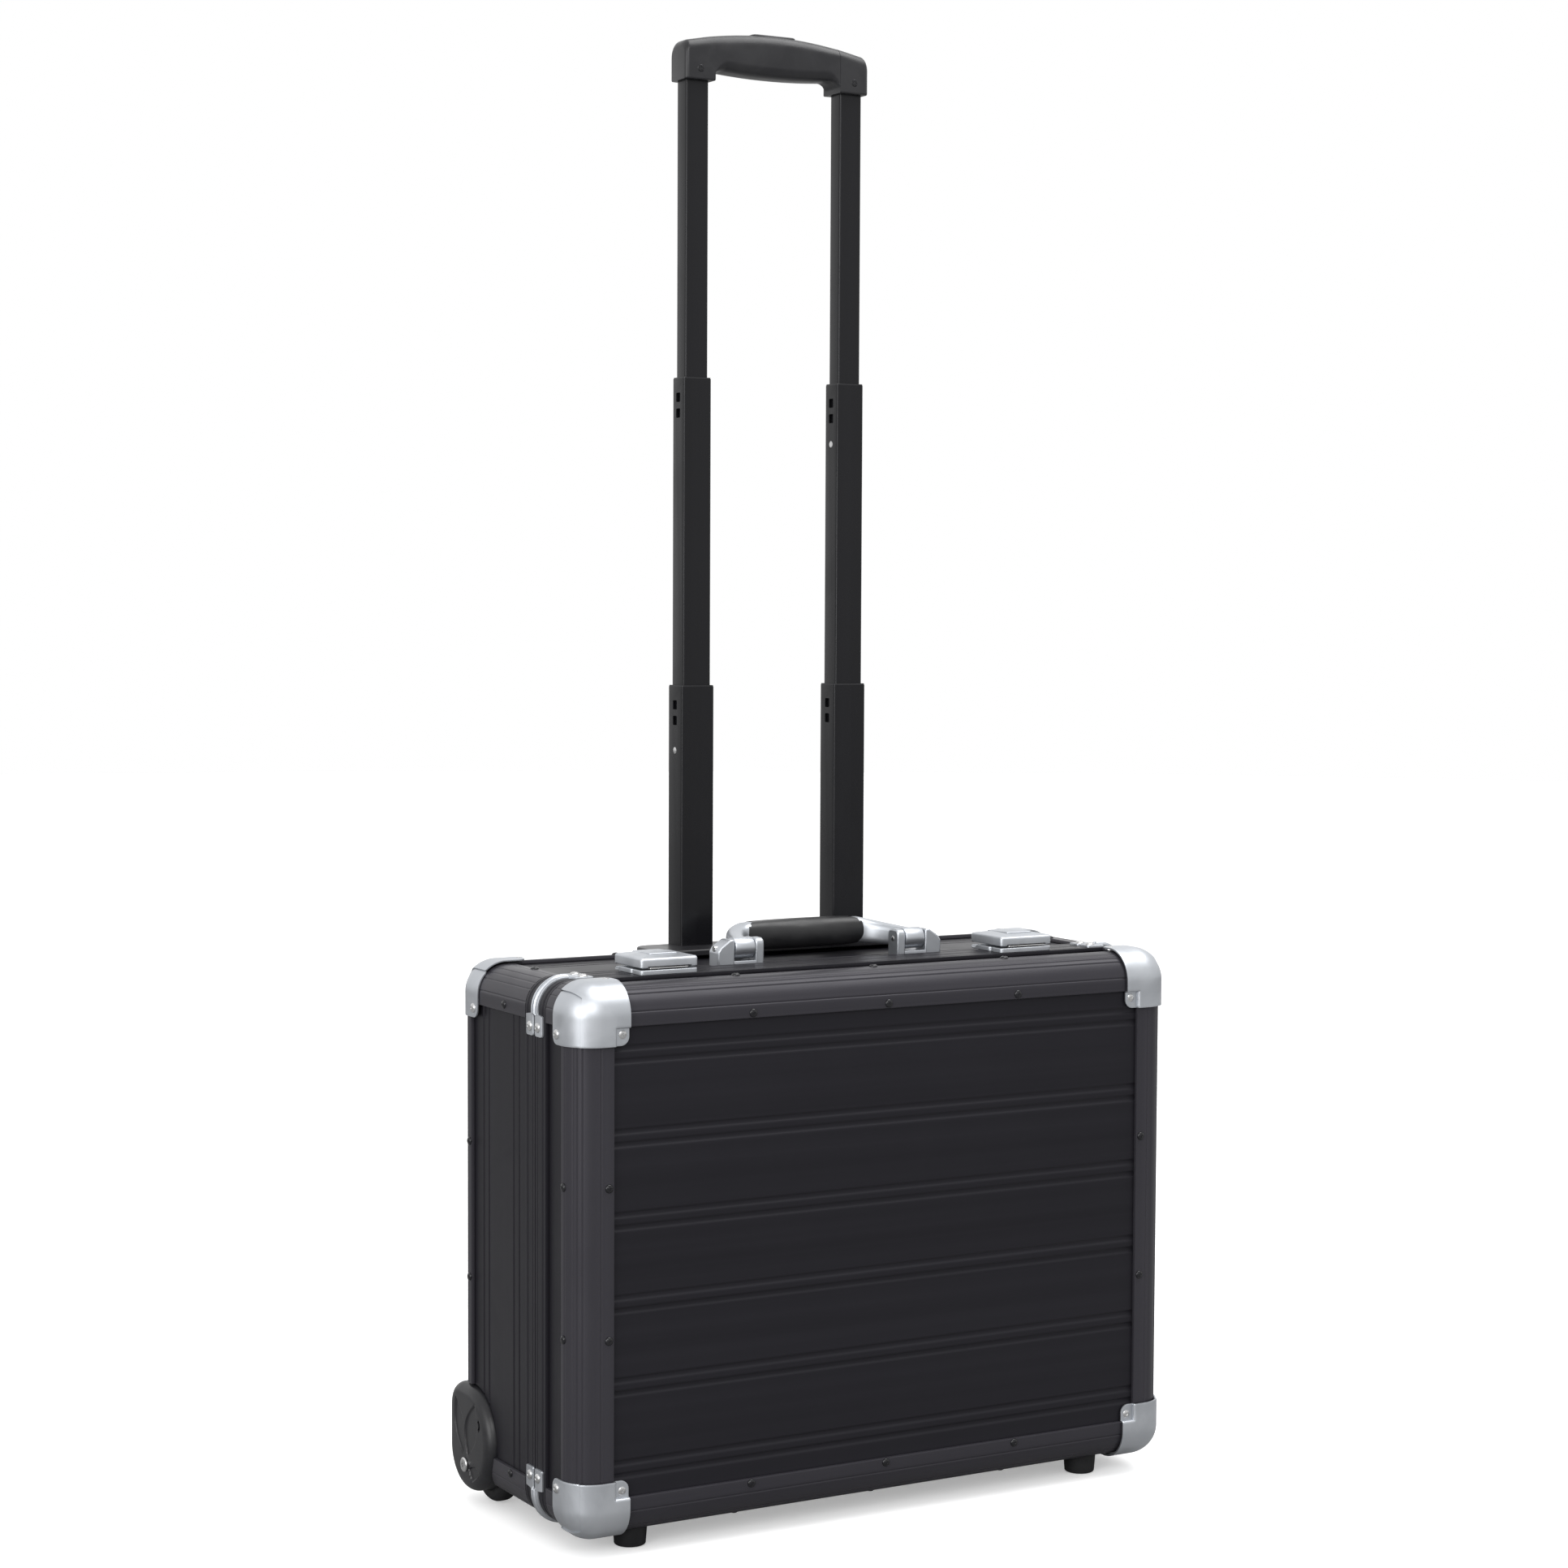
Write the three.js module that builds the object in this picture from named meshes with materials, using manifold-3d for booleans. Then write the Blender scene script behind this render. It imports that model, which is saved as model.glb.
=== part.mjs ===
// A wheeled aluminium case: a front half (the lid) hinged along the bottom to a rear half that carries
// two wheels, two latches, a folding carry handle and a three-stage telescopic trolley handle.
// Millimetres. +Z is up, +X is to the right as seen from the front, and the front panel faces -Y.
// Heights are measured from the floor. While the model is built, Y is measured from the front face of
// the case towards the rear; the last group shifts it so that the origin is the middle of the footprint.

import * as THREE from 'three';
import { mergeVertices } from 'three/addons/utils/BufferGeometryUtils.js';
import { RoundedBoxGeometry } from 'three/addons/geometries/RoundedBoxGeometry.js';
import Module from 'manifold-3d';

const wasm = await Module();
wasm.setup();

// ---------------------------------------------------------------- driving dimensions

// the case
const caseWidth = 470;
const caseDepth = 184;
const caseHeight = 361;
const caseBottom = 13.5; // height of the case's underside above the floor
const edgeRadius = 20; // every outside edge of the case
const gap = 0.3; // between pieces that touch
const overcut = 1; // how far a cutting tool runs past what it cuts
const arcSteps = 5; // facets of a quarter circle

// edge profiles and panels
const profileWall = 2.4;
const faceLipSide = 28; // how far the left and right profiles cover the front and rear panels
const faceLipEnd = 26.5; // how far the top and bottom profiles cover them
const sideLip = 22; // how far every edge profile covers the side panels
const cornerLip = 27; // both legs of the front-to-back corner profiles
const panelWall = 1.6;
const grooveDepth = 0.6;
const grooveWidth = 1.8;
const groovePairGap = 8.5;
const facePairs = 6; // pairs of grooves across the front and rear panels
const faceMargin = 17.6; // from the top and bottom of the case to the first pair's half pitch
const sidePairs = 2; // pairs of grooves along each side panel
const sidePairPitch = 48;

// closing frames
const partingDepth = 60.2; // where the two halves meet, behind the front face
const frameDepth = 15.3; // front to back, each frame
const frameWall = 7.5; // from the outside to the inside of the case
const channelDepth = 5; // how far a panel enters the frame

// corner caps
const capWall = 1.2;
const capLength = 40.5; // along X and Z, from the outside of the case
const frontCapDepth = 31;
const rearCapDepth = 35;

// linings
const liningWall = 1.2;
const liningClearance = 0.3;
const lidLiningFront = 8;
const liningSetBack = 2; // the linings stop this far from the parting

// feet
const footX = 181;
const footDepth = 28.7;
const footRadius = 11.5;
const footTaper = 1;

// bottom hinge
const hingeLength = 378;
const knuckles = 7;
const barrelRadius = 2.4;
const hingePinRadius = 0.9;
const hingePinClearance = 0.3;
const leafWall = 1.0;
const leafDepth = 13;
const knuckleOverlap = 0.6; // how far each leaf's plate runs into its knuckles

// latches
const latchX = 143;
const latchWidth = 43;
const latchFront = 46;
const latchRear = 86;
const latchBaseHeight = 3.6;
const latchCoverHeight = 5.2;
const latchCrown = 3.6;
const latchPinRadius = 1.1;
const latchPinClearance = 0.3;
const latchPinBack = 4; // pin in front of the rear of the latch
const latchPinRise = 2.4; // pin above the underside of the cover
const latchPinEnd = 3; // the pin stops this far from the sides of the cover
const latchBoreEnd = 2.5; // and its hole in the cover this far
const latchLugRadius = 2.6;
const latchLugHalf = 8;
const latchLugRoom = 0.8; // round the lug, for the cover to turn
const latchLugSideRoom = 0.5;
const latchCorner = 3;

// carry handle
const bracketX = 72;
const bracketWidth = 36;
const bracketDepth = 13.5;
const bracketEar = 6.5; // inner ear
const bracketBlock = 13; // outer block
const bracketHeight = 19.5;
const bracketBase = 3.5;
const bracketCorner = 5;
const handleAxisHeight = 12.6; // above the top of the case
const handleBarrelRadius = 7;
const handlePinRadius = 2;
const handlePinClearance = 0.3;
const handleReach = 36.5; // from the pivot to the middle of the bar
const handleBarWidth = 17;
const handleBarHeight = 19;
const handleBarDrop = 1.2; // bottom of the bar below the bottom of the barrels
const handleBarCorner = 6;
const handleCoreWidth = 9;
const handleCoreHeight = 10;
const gripLength = 96;
const gripWidth = 20;
const gripHeight = 22;
const gripCorner = 8;

// wheels and their housings
const wheelRadius = 28;
const wheelWidth = 14;
const wheelInFromSide = 20; // middle of the wheel inside the side of the case
const wheelBackFromRear = 20.5; // wheel axis in front of the case's rear face
const wheelClearance = 2.5;
const axleRadius = 3;
const axleClearance = 0.3;
const axleHeadRadius = 5;
const axleHeadWall = 1.4;
const bossRadius = 7;
const housingWall = 2.5;
const housingProudSide = 4.5; // beyond the side of the case
const housingProudRear = 10; // beyond the rear of the case
const housingInner = 36; // from the side of the case inwards
const housingFrontRadius = 37.5;
const housingHeight = 46; // centre of its round front
const housingRearTopRadius = 18;
const housingBottomRadius = 30;
const housingSteps = 12;
const tyreCorner = 2;
const tyreSide = 6; // the tyre's side wall, from the tread inwards
const webInset = 2; // the wheel's web lies below its hub and its tyre

// trolley
const trolleyX = 62.4; // half the distance between the tubes
const trolleyBackFromRear = 16.5; // tube axis in front of the case's rear face
const lowerWidth = 26;
const lowerDepth = 20.6;
const tubeWall = 1.3;
const widthStep = 4; // each stage is narrower than the one it slides in
const depthStep = 3.4;
const tubeCorner = 1.6;
const fixedWall = 1.2;
const slideClearance = 0.3;
const fixedBottom = 46;
const bridgeHeight = 5;
const collarWall = 4;
const collarHalfWidth = 106;
const collarFront = 131;
const collarRearGap = 9; // from the rear of the case to the rear of the collar
const collarCorner = 12;
const lowerVisible = 183; // pulled fully out, above the collar
const middleVisible = 215.9;
const upperVisible = 207.1;
const stageOverlap = 50; // what stays inside the stage below
const windowDepth = 6;
const windowHeight = 6.5;
const windowDrops = [13, 24]; // below the top of the stage

// trolley grip
const gripLegWidth = 23.4;
const gripLegDepth = 24;
const gripLegDrop = 8.5; // legs below the underside of the bar
const gripBarHeight = 27; // at the middle
const gripArch = 8.7; // the middle of the top above its ends
const gripShoulder = 4; // the grip's top corners, along X
const gripShoulderDrop = 5; // and down Z
const socketDepth = 20;
const socketClearance = 0.3;
const buttonLength = 36;
const buttonDepth = 13;
const buttonCorner = 5;
const buttonProud = 1.2;
const buttonTravel = 3;
const buttonWall = 4;
const buttonClearance = 0.4;

// ---------------------------------------------------------------- worked out from them

const caseTop = caseBottom + caseHeight;
const halfWidth = caseWidth / 2;
const facePairPitch = (caseHeight - 2 * faceMargin) / facePairs;
const wheelX = halfWidth - wheelInFromSide;
const panelInset = profileWall + gap; // panels lie this far below the profiles' outside
const partingGap = gap / 2;
const lidFrameFront = partingDepth - frameDepth;
const rearFrameRear = partingDepth + frameDepth;
const liningInset = frameWall + liningClearance;
const wheelDepth = caseDepth - wheelBackFromRear;
const trolleyDepth = caseDepth - trolleyBackFromRear;
const hingeHeight = caseBottom - gap - barrelRadius;
const latchFloor = caseTop + gap;
const bracketFront = rearFrameRear + gap;
const bracketFloor = caseTop - panelInset + gap;
const handleAxisDepth = bracketFront + bracketDepth / 2;
const handleAxis = caseTop + handleAxisHeight;
const handleBarDepth = handleAxisDepth + handleReach;
const handleBarCentre = handleAxis - handleBarrelRadius - handleBarDrop + handleBarHeight / 2;
const collarFloor = caseTop + gap;
const collarTop = collarFloor + collarWall;
const lowerTop = collarTop + lowerVisible;
const middleTop = lowerTop + middleVisible;
const legBottom = middleTop + upperVisible;
const originDepth = (caseDepth + housingProudRear - gap - capWall) / 2;

// ---------------------------------------------------------------- materials

function finish(color, roughness, metalness) {
  return () => new THREE.MeshStandardMaterial({ color, roughness, metalness });
}

const blackAluminium = finish(0x2f2f33, 0.45, 0.8);
const silver = finish(0xb2b6bd, 0.35, 0.9);
const blackPlastic = finish(0x3a3a3d, 0.5, 0.0);
const rubber = finish(0x1b1b1d, 0.85, 0.0);
const padding = finish(0x232327, 0.7, 0.0);
const fabric = finish(0x2a2a2e, 0.95, 0.0);
const steel = finish(0xc4c6c8, 0.3, 1.0);

// ---------------------------------------------------------------- solids

/** The signed volume of an indexed triangle mesh; negative when its faces point inwards. */
function signedVolume(positions, index) {
  const a = new THREE.Vector3();
  const b = new THREE.Vector3();
  const c = new THREE.Vector3();
  let sum = 0;
  for (let i = 0; i < index.length; i += 3) {
    a.fromArray(positions, 3 * index[i]);
    b.fromArray(positions, 3 * index[i + 1]);
    c.fromArray(positions, 3 * index[i + 2]);
    sum += a.dot(b.cross(c)) / 6;
  }
  return sum;
}

/** A closed geometry as a solid, with its faces turned outwards. */
function toSolid(geometry) {
  const bare = geometry.clone();
  bare.deleteAttribute('normal');
  bare.deleteAttribute('uv');
  const merged = mergeVertices(bare, 1e-4);
  const vertProperties = new Float32Array(merged.attributes.position.array);
  const triVerts = new Uint32Array(merged.index.array);
  if (signedVolume(vertProperties, triVerts) < 0) {
    triVerts.reverse();
  }
  return new wasm.Manifold(new wasm.Mesh({ numProp: 3, vertProperties, triVerts }));
}

function toGeometry(solid) {
  const mesh = solid.getMesh();
  const geometry = new THREE.BufferGeometry();
  geometry.setAttribute('position', new THREE.BufferAttribute(mesh.vertProperties, 3));
  geometry.setIndex(new THREE.BufferAttribute(mesh.triVerts, 1));
  geometry.computeVertexNormals();
  return geometry;
}

function join(...geometries) {
  return toGeometry(geometries.map(toSolid).reduce((a, b) => a.add(b)));
}

function cut(geometry, ...tools) {
  return toGeometry(tools.map(toSolid).reduce((a, b) => a.subtract(b), toSolid(geometry)));
}

function common(first, second) {
  return toGeometry(toSolid(first).intersect(toSolid(second)));
}

/** A block between two corners. */
function block(x0, x1, y0, y1, z0, z1) {
  const geometry = new THREE.BoxGeometry(x1 - x0, y1 - y0, z1 - z0);
  return geometry.translate((x0 + x1) / 2, (y0 + y1) / 2, (z0 + z1) / 2);
}

/** A round bar along X, between x0 and x1, about the line (y, z). */
function barX(x0, x1, y, z, radius, steps = 16) {
  const geometry = new THREE.CylinderGeometry(radius, radius, x1 - x0, steps);
  return geometry.rotateZ(Math.PI / 2).translate((x0 + x1) / 2, y, z);
}

/** An outline pushed along an axis from start to end. The outline's two coordinates are
 *  (y, z) along x, (x, z) along y, and (x, y) along z. */
function prism(axis, outline, start, end, hole) {
  const shape = new THREE.Shape(outline);
  if (hole) {
    shape.holes.push(new THREE.Path(hole));
  }
  const geometry = new THREE.ExtrudeGeometry(shape, { depth: end - start, bevelEnabled: false });
  const turn = new THREE.Matrix4();
  if (axis === 'x') {
    turn.makeBasis(new THREE.Vector3(0, 1, 0), new THREE.Vector3(0, 0, 1), new THREE.Vector3(1, 0, 0));
    return geometry.applyMatrix4(turn).translate(start, 0, 0);
  }
  if (axis === 'y') {
    turn.makeBasis(new THREE.Vector3(1, 0, 0), new THREE.Vector3(0, 0, 1), new THREE.Vector3(0, -1, 0));
    return geometry.applyMatrix4(turn).translate(0, end, 0);
  }
  return geometry.translate(0, 0, start);
}

/** Points of an arc, from one angle to another, in degrees. */
function arc(centreA, centreB, radius, from, to, steps) {
  const points = [];
  for (let i = 0; i <= steps; i += 1) {
    const angle = THREE.MathUtils.degToRad(from + ((to - from) * i) / steps);
    const a = centreA + radius * Math.cos(angle);
    const b = centreB + radius * Math.sin(angle);
    points.push(new THREE.Vector2(a, b));
  }
  return points;
}

/** A rectangle with round corners, as an outline. */
function roundedRectangle(a0, a1, b0, b1, radius, steps = arcSteps) {
  return [
    ...arc(a1 - radius, b0 + radius, radius, -90, 0, steps),
    ...arc(a1 - radius, b1 - radius, radius, 0, 90, steps),
    ...arc(a0 + radius, b1 - radius, radius, 90, 180, steps),
    ...arc(a0 + radius, b0 + radius, radius, 180, 270, steps),
  ];
}

/** The case's outline seen from the front, inset by a distance. */
function caseOutline(inset) {
  const half = halfWidth - inset;
  return roundedRectangle(-half, half, caseBottom + inset, caseTop - inset, edgeRadius - inset);
}

/** A wall that follows the case's outline, between two insets, from one depth to another. */
function caseRing(outerInset, innerInset, start, end) {
  return prism('y', caseOutline(outerInset), start, end, caseOutline(innerInset));
}

/** The whole case as a solid, grown outwards by a distance. */
function caseSolid(grow) {
  const width = caseWidth + 2 * grow;
  const depth = caseDepth + 2 * grow;
  const height = caseHeight + 2 * grow;
  const geometry = new RoundedBoxGeometry(width, depth, height, 3, edgeRadius + grow);
  return geometry.translate(0, caseDepth / 2, caseBottom + caseHeight / 2);
}

/** An L-shaped edge section with a round outside corner. a is measured from one face of the case
 *  inwards, b from the other; the legs reach lipA along a and lipB along b. place turns (a, b) into
 *  the outline's own coordinates. */
function edgeSection(lipA, lipB, place) {
  const points = [
    new THREE.Vector2(lipA, 0),
    ...arc(edgeRadius, edgeRadius, edgeRadius, 270, 180, arcSteps),
    new THREE.Vector2(0, lipB),
    new THREE.Vector2(profileWall, lipB),
    ...arc(edgeRadius, edgeRadius, edgeRadius - profileWall, 180, 270, arcSteps),
    new THREE.Vector2(lipA, profileWall),
  ];
  return points.map((p) => place(p.x, p.y));
}

/** A sheet seen from its edge, with shallow grooves in its outer side. length runs from a0 to a1,
 *  and the outer side is at b = outside, with the sheet on the side that inward (+1 or -1) says. */
function groovedSheet(a0, a1, outside, inward, grooves) {
  const points = [new THREE.Vector2(a0, outside)];
  for (const middle of grooves) {
    points.push(new THREE.Vector2(middle - grooveWidth / 2, outside));
    points.push(new THREE.Vector2(middle, outside + inward * grooveDepth));
    points.push(new THREE.Vector2(middle + grooveWidth / 2, outside));
  }
  points.push(new THREE.Vector2(a1, outside));
  points.push(new THREE.Vector2(a1, outside + inward * panelWall));
  points.push(new THREE.Vector2(a0, outside + inward * panelWall));
  return points;
}

/** Middles of grooves in pairs, spread evenly about a centre. */
function groovePairs(centre, count, pitch) {
  const middles = [];
  for (let i = 0; i < count; i += 1) {
    const pair = centre + (i - (count - 1) / 2) * pitch;
    middles.push(pair - groovePairGap / 2, pair + groovePairGap / 2);
  }
  return middles;
}

const swap = (points) => points.map((p) => new THREE.Vector2(p.y, p.x));

// ---------------------------------------------------------------- wheel housings

/** The outline of a wheel housing seen from the side, drawn in by a distance. */
function housingOutline(inset) {
  const rear = caseDepth + housingProudRear;
  const top = housingHeight + housingFrontRadius;
  const bottom = housingHeight - housingFrontRadius;
  const front = housingFrontRadius - inset;
  const topRadius = housingRearTopRadius - inset;
  const bottomRadius = housingBottomRadius - inset;
  const topCentre = rear - housingRearTopRadius;
  const bottomCentre = rear - housingBottomRadius;
  return [
    ...arc(wheelDepth, housingHeight, front, 90, 270, housingSteps),
    ...arc(bottomCentre, bottom + housingBottomRadius, bottomRadius, 270, 360, arcSteps),
    ...arc(topCentre, top - housingRearTopRadius, topRadius, 0, 90, arcSteps),
  ];
}

/** Everything inside the outside of a left wheel housing, grown by a distance. */
function housingSpace(grow) {
  const outside = -halfWidth - housingProudSide - grow;
  const inside = -halfWidth + housingInner + grow;
  const rear = caseDepth + housingProudRear + grow;
  const front = wheelDepth - housingFrontRadius - grow;
  const radius = housingRearTopRadius + grow;
  const plan = [
    new THREE.Vector2(outside, front),
    new THREE.Vector2(inside, front),
    new THREE.Vector2(inside, rear),
    ...arc(outside + radius, rear - radius, radius, 90, 180, arcSteps),
  ];
  return common(prism('x', housingOutline(-grow), outside, inside), prism('z', plan, 0, caseTop));
}

const slotLeft = -wheelX - wheelWidth / 2 - wheelClearance;
const slotRight = -wheelX + wheelWidth / 2 + wheelClearance;

/** The room that the left wheel turns in. */
function wheelSpace() {
  const round = wheelRadius + wheelClearance;
  const turning = barX(slotLeft, slotRight, wheelDepth, wheelRadius, round, 24);
  return join(turning, block(slotLeft, slotRight, wheelDepth - round, wheelDepth + round, 0, wheelRadius));
}

/** The left wheel housing: a moulded bucket, open below, with a boss for the axle on both sides. */
function wheelHousing() {
  const outside = -halfWidth - housingProudSide;
  const inside = -halfWidth + housingInner;
  const shell = cut(housingSpace(0), housingSpace(-housingWall), wheelSpace());
  const outerBoss = barX(outside + housingWall / 2, slotLeft, wheelDepth, wheelRadius, bossRadius);
  const innerBoss = barX(slotRight, inside - housingWall / 2, wheelDepth, wheelRadius, bossRadius);
  const bored = axleRadius + axleClearance;
  const bore = barX(outside - overcut, inside + overcut, wheelDepth, wheelRadius, bored);
  return cut(join(shell, outerBoss, innerBoss), bore);
}

/** The left wheel's axle, with the round head that shows outside. */
function wheelAxle() {
  const face = -halfWidth - housingProudSide - gap;
  const end = -halfWidth + housingInner;
  const pin = barX(face - axleHeadWall / 2, end, wheelDepth, wheelRadius, axleRadius);
  return join(pin, barX(face - axleHeadWall, face, wheelDepth, wheelRadius, axleHeadRadius));
}

/** The left wheel, turned about its axle, with a rounded tread. */
function wheel() {
  const bore = axleRadius + axleClearance;
  const half = wheelWidth / 2;
  const hub = bossRadius + tyreCorner;
  const web = half - webInset;
  const tyre = wheelRadius - tyreSide;
  const section = [
    [bore, -half],
    [hub, -half],
    [hub + webInset, -web],
    [tyre - webInset, -web],
    [tyre, -half],
    [wheelRadius - tyreCorner, -half],
    [wheelRadius, -half + tyreCorner],
    [wheelRadius, half - tyreCorner],
    [wheelRadius - tyreCorner, half],
    [tyre, half],
    [tyre - webInset, web],
    [hub + webInset, web],
    [hub, half],
    [bore, half],
    [bore, -half],
  ].map(([radius, along]) => new THREE.Vector2(radius, along));
  const turned = new THREE.LatheGeometry(section, 24);
  return toGeometry(toSolid(turned.rotateZ(Math.PI / 2).translate(-wheelX, wheelDepth, wheelRadius)));
}

/** A copy of a left-hand piece on the right. */
function mirrored(geometry) {
  return toGeometry(toSolid(geometry.clone().scale(-1, 1, 1)));
}

// ---------------------------------------------------------------- panels and profiles

const leftWell = join(housingSpace(gap), wheelSpace());
const wells = [leftWell, mirrored(leftWell)];
const straightX = halfWidth - edgeRadius;
const straightBottom = caseBottom + edgeRadius;
const straightTop = caseTop - edgeRadius;
const panelMiddle = (caseBottom + caseTop) / 2;

function facePanel(outside, inward) {
  const grooves = groovePairs(panelMiddle, facePairs, facePairPitch);
  const section = swap(groovedSheet(straightBottom, straightTop, outside, inward, grooves));
  return prism('x', section, -straightX, straightX);
}

const sideStart = rearFrameRear - channelDepth + gap;
const sideEnd = caseDepth - edgeRadius - gap;
const sideGrooves = groovePairs((rearFrameRear + caseDepth - sideLip) / 2, sidePairs, sidePairPitch);

/** A side panel of the rear half; side is -1 for left and +1 for right. */
function sidePanel(side) {
  const outside = side * (halfWidth - panelInset);
  const section = swap(groovedSheet(sideStart, sideEnd, outside, -side, sideGrooves));
  return prism('z', section, straightBottom + gap, straightTop - gap);
}

/** The top (level +1) or bottom (level -1) panel of the rear half. */
function endPanel(level) {
  const outside = level > 0 ? caseTop - panelInset : caseBottom + panelInset;
  const section = groovedSheet(sideStart, sideEnd, outside, -level, sideGrooves);
  return prism('x', section, -straightX + gap, straightX - gap);
}

/** A left or right edge profile; end is -1 at the front and +1 at the rear. */
function uprightProfile(side, end) {
  const place = (a, b) => new THREE.Vector2(side * (halfWidth - a), end < 0 ? b : caseDepth - b);
  const reach = faceLipEnd + gap; // it stops where the top and bottom profiles cover the panel
  return prism('z', edgeSection(faceLipSide, sideLip, place), caseBottom + reach, caseTop - reach);
}

/** A top or bottom edge profile; end is -1 at the front and +1 at the rear. */
function levelProfile(level, end) {
  const height = (a) => (level > 0 ? caseTop - a : caseBottom + a);
  const place = (a, b) => new THREE.Vector2(end < 0 ? b : caseDepth - b, height(a));
  return prism('x', edgeSection(faceLipEnd, sideLip, place), -straightX, straightX);
}

/** A front-to-back corner profile of the rear half. */
function cornerProfile(side, level) {
  const height = (b) => (level > 0 ? caseTop - b : caseBottom + b);
  const place = (a, b) => new THREE.Vector2(side * (halfWidth - a), height(b));
  const section = edgeSection(cornerLip, cornerLip, place);
  return prism('y', section, rearFrameRear + gap, caseDepth - sideLip - gap);
}

/** The front top left corner cap as pressed, with a tab let down onto the panel; deep is how far
 *  it reaches along the sides of the case. */
function leftCap(deep) {
  const shell = cut(caseSolid(gap + capWall), caseSolid(gap));
  const beyond = capWall + overcut;
  const right = -halfWidth + capLength;
  const low = caseTop - capLength;
  const corner = block(-halfWidth - beyond, right, -beyond, deep, low, caseTop + beyond);
  const left = -halfWidth + faceLipSide + gap;
  const high = caseTop - faceLipEnd - gap;
  const front = -gap - capWall;
  const floor = panelInset - gap;
  const tab = block(left, right, front, floor, low, high);
  const dish = block(
    left + capWall,
    right + overcut,
    front - overcut,
    floor - capWall,
    low - overcut,
    high - capWall,
  );
  return cut(join(common(shell, corner), tab), dish);
}

/** A corner cap, turned over from the front top left one; end is -1 at the front and +1 at the rear. */
function cornerCap(side, level, end) {
  const middle = new THREE.Vector3(0, caseDepth / 2, panelMiddle);
  const turned = leftCap(end < 0 ? frontCapDepth : rearCapDepth).translate(0, -middle.y, -middle.z);
  return toGeometry(toSolid(turned.scale(-side, -end, level).translate(0, middle.y, middle.z)));
}

// ---------------------------------------------------------------- closing frames, linings, feet

/** The slot in a closing frame that the edges of the panels stand in. */
function frameSlot(start, end) {
  return caseRing(panelInset - gap, panelInset + panelWall + gap, start, end);
}

function lidFrame() {
  const ring = caseRing(0, frameWall, lidFrameFront, partingDepth - partingGap);
  return cut(ring, frameSlot(lidFrameFront - overcut, lidFrameFront + channelDepth));
}

function rearFrame() {
  const ring = caseRing(0, frameWall, partingDepth + partingGap, rearFrameRear);
  return cut(ring, frameSlot(rearFrameRear - channelDepth, rearFrameRear + overcut));
}

/** The lid's side wall: one sheet bent round the case, under the profiles and in the frame. */
function lidSideBand() {
  const start = edgeRadius + gap;
  return caseRing(panelInset, panelInset + panelWall, start, lidFrameFront + channelDepth - gap);
}

function lidLining() {
  const end = partingDepth - liningSetBack;
  const floor = lidLiningFront + liningWall;
  const outside = prism('y', caseOutline(liningInset), lidLiningFront, end);
  const inside = prism('y', caseOutline(liningInset + liningWall), floor, end + overcut);
  return cut(outside, inside);
}

/** The rear lining is a tray whose back board stands in front of the trolley's fixed tubes. */
function rearLining() {
  const start = partingDepth + liningSetBack;
  const end = trolleyDepth - lowerDepth / 2 - sleeveGrow - gap;
  const outside = prism('y', caseOutline(liningInset), start, end);
  const inside = prism('y', caseOutline(liningInset + liningWall), start - overcut, end - liningWall);
  return cut(cut(outside, inside), ...wells);
}

/** A foot, slightly narrower where it meets the floor. */
function foot(side) {
  const height = caseBottom - gap;
  const body = new THREE.CylinderGeometry(footRadius, footRadius - footTaper, height, 20);
  return body.rotateX(Math.PI / 2).translate(side * footX, footDepth, height / 2);
}

// ---------------------------------------------------------------- bottom hinge

const knuckleLength = hingeLength / knuckles;

/** A hinge leaf; end is -1 for the lid's and +1 for the rear half's, which also holds the pin. */
function hingeLeaf(end) {
  const near = partingDepth + end * (barrelRadius - knuckleOverlap);
  const far = partingDepth + end * leafDepth;
  const top = caseBottom - gap;
  const half = hingeLength / 2;
  const plate = block(-half, half, Math.min(near, far), Math.max(near, far), top - leafWall, top);
  const barrels = [];
  const spaces = [];
  for (let i = 0; i < knuckles; i += 1) {
    const start = -half + i * knuckleLength;
    const mine = i % 2 === (end < 0 ? 0 : 1);
    const trim = mine ? gap / 2 : -gap / 2;
    const radius = mine ? barrelRadius : barrelRadius + gap;
    const bar = barX(start + trim, start + knuckleLength - trim, partingDepth, hingeHeight, radius, 12);
    (mine ? barrels : spaces).push(bar);
  }
  const leaf = cut(join(plate, ...barrels), ...spaces);
  if (end < 0) {
    const bore = hingePinRadius + hingePinClearance;
    return cut(leaf, barX(-half - overcut, half + overcut, partingDepth, hingeHeight, bore, 12));
  }
  return join(leaf, barX(-half, half, partingDepth, hingeHeight, hingePinRadius, 12));
}

// ---------------------------------------------------------------- latches

const latchHalf = latchWidth / 2;
const latchTopOfBase = latchFloor + latchBaseHeight;
const latchPinDepth = latchRear - latchPinBack;
const latchPinHeight = latchTopOfBase + gap + latchPinRise;

function latchStrike(side) {
  const left = side * latchX - latchHalf;
  const right = side * latchX + latchHalf;
  const rear = partingDepth - gap;
  const plan = roundedRectangle(left, right, latchFront, rear + latchCorner, latchCorner, 2);
  const plate = prism('z', plan, latchFloor, latchTopOfBase);
  return common(plate, block(left, right, latchFront, rear, latchFloor, latchTopOfBase));
}

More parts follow.
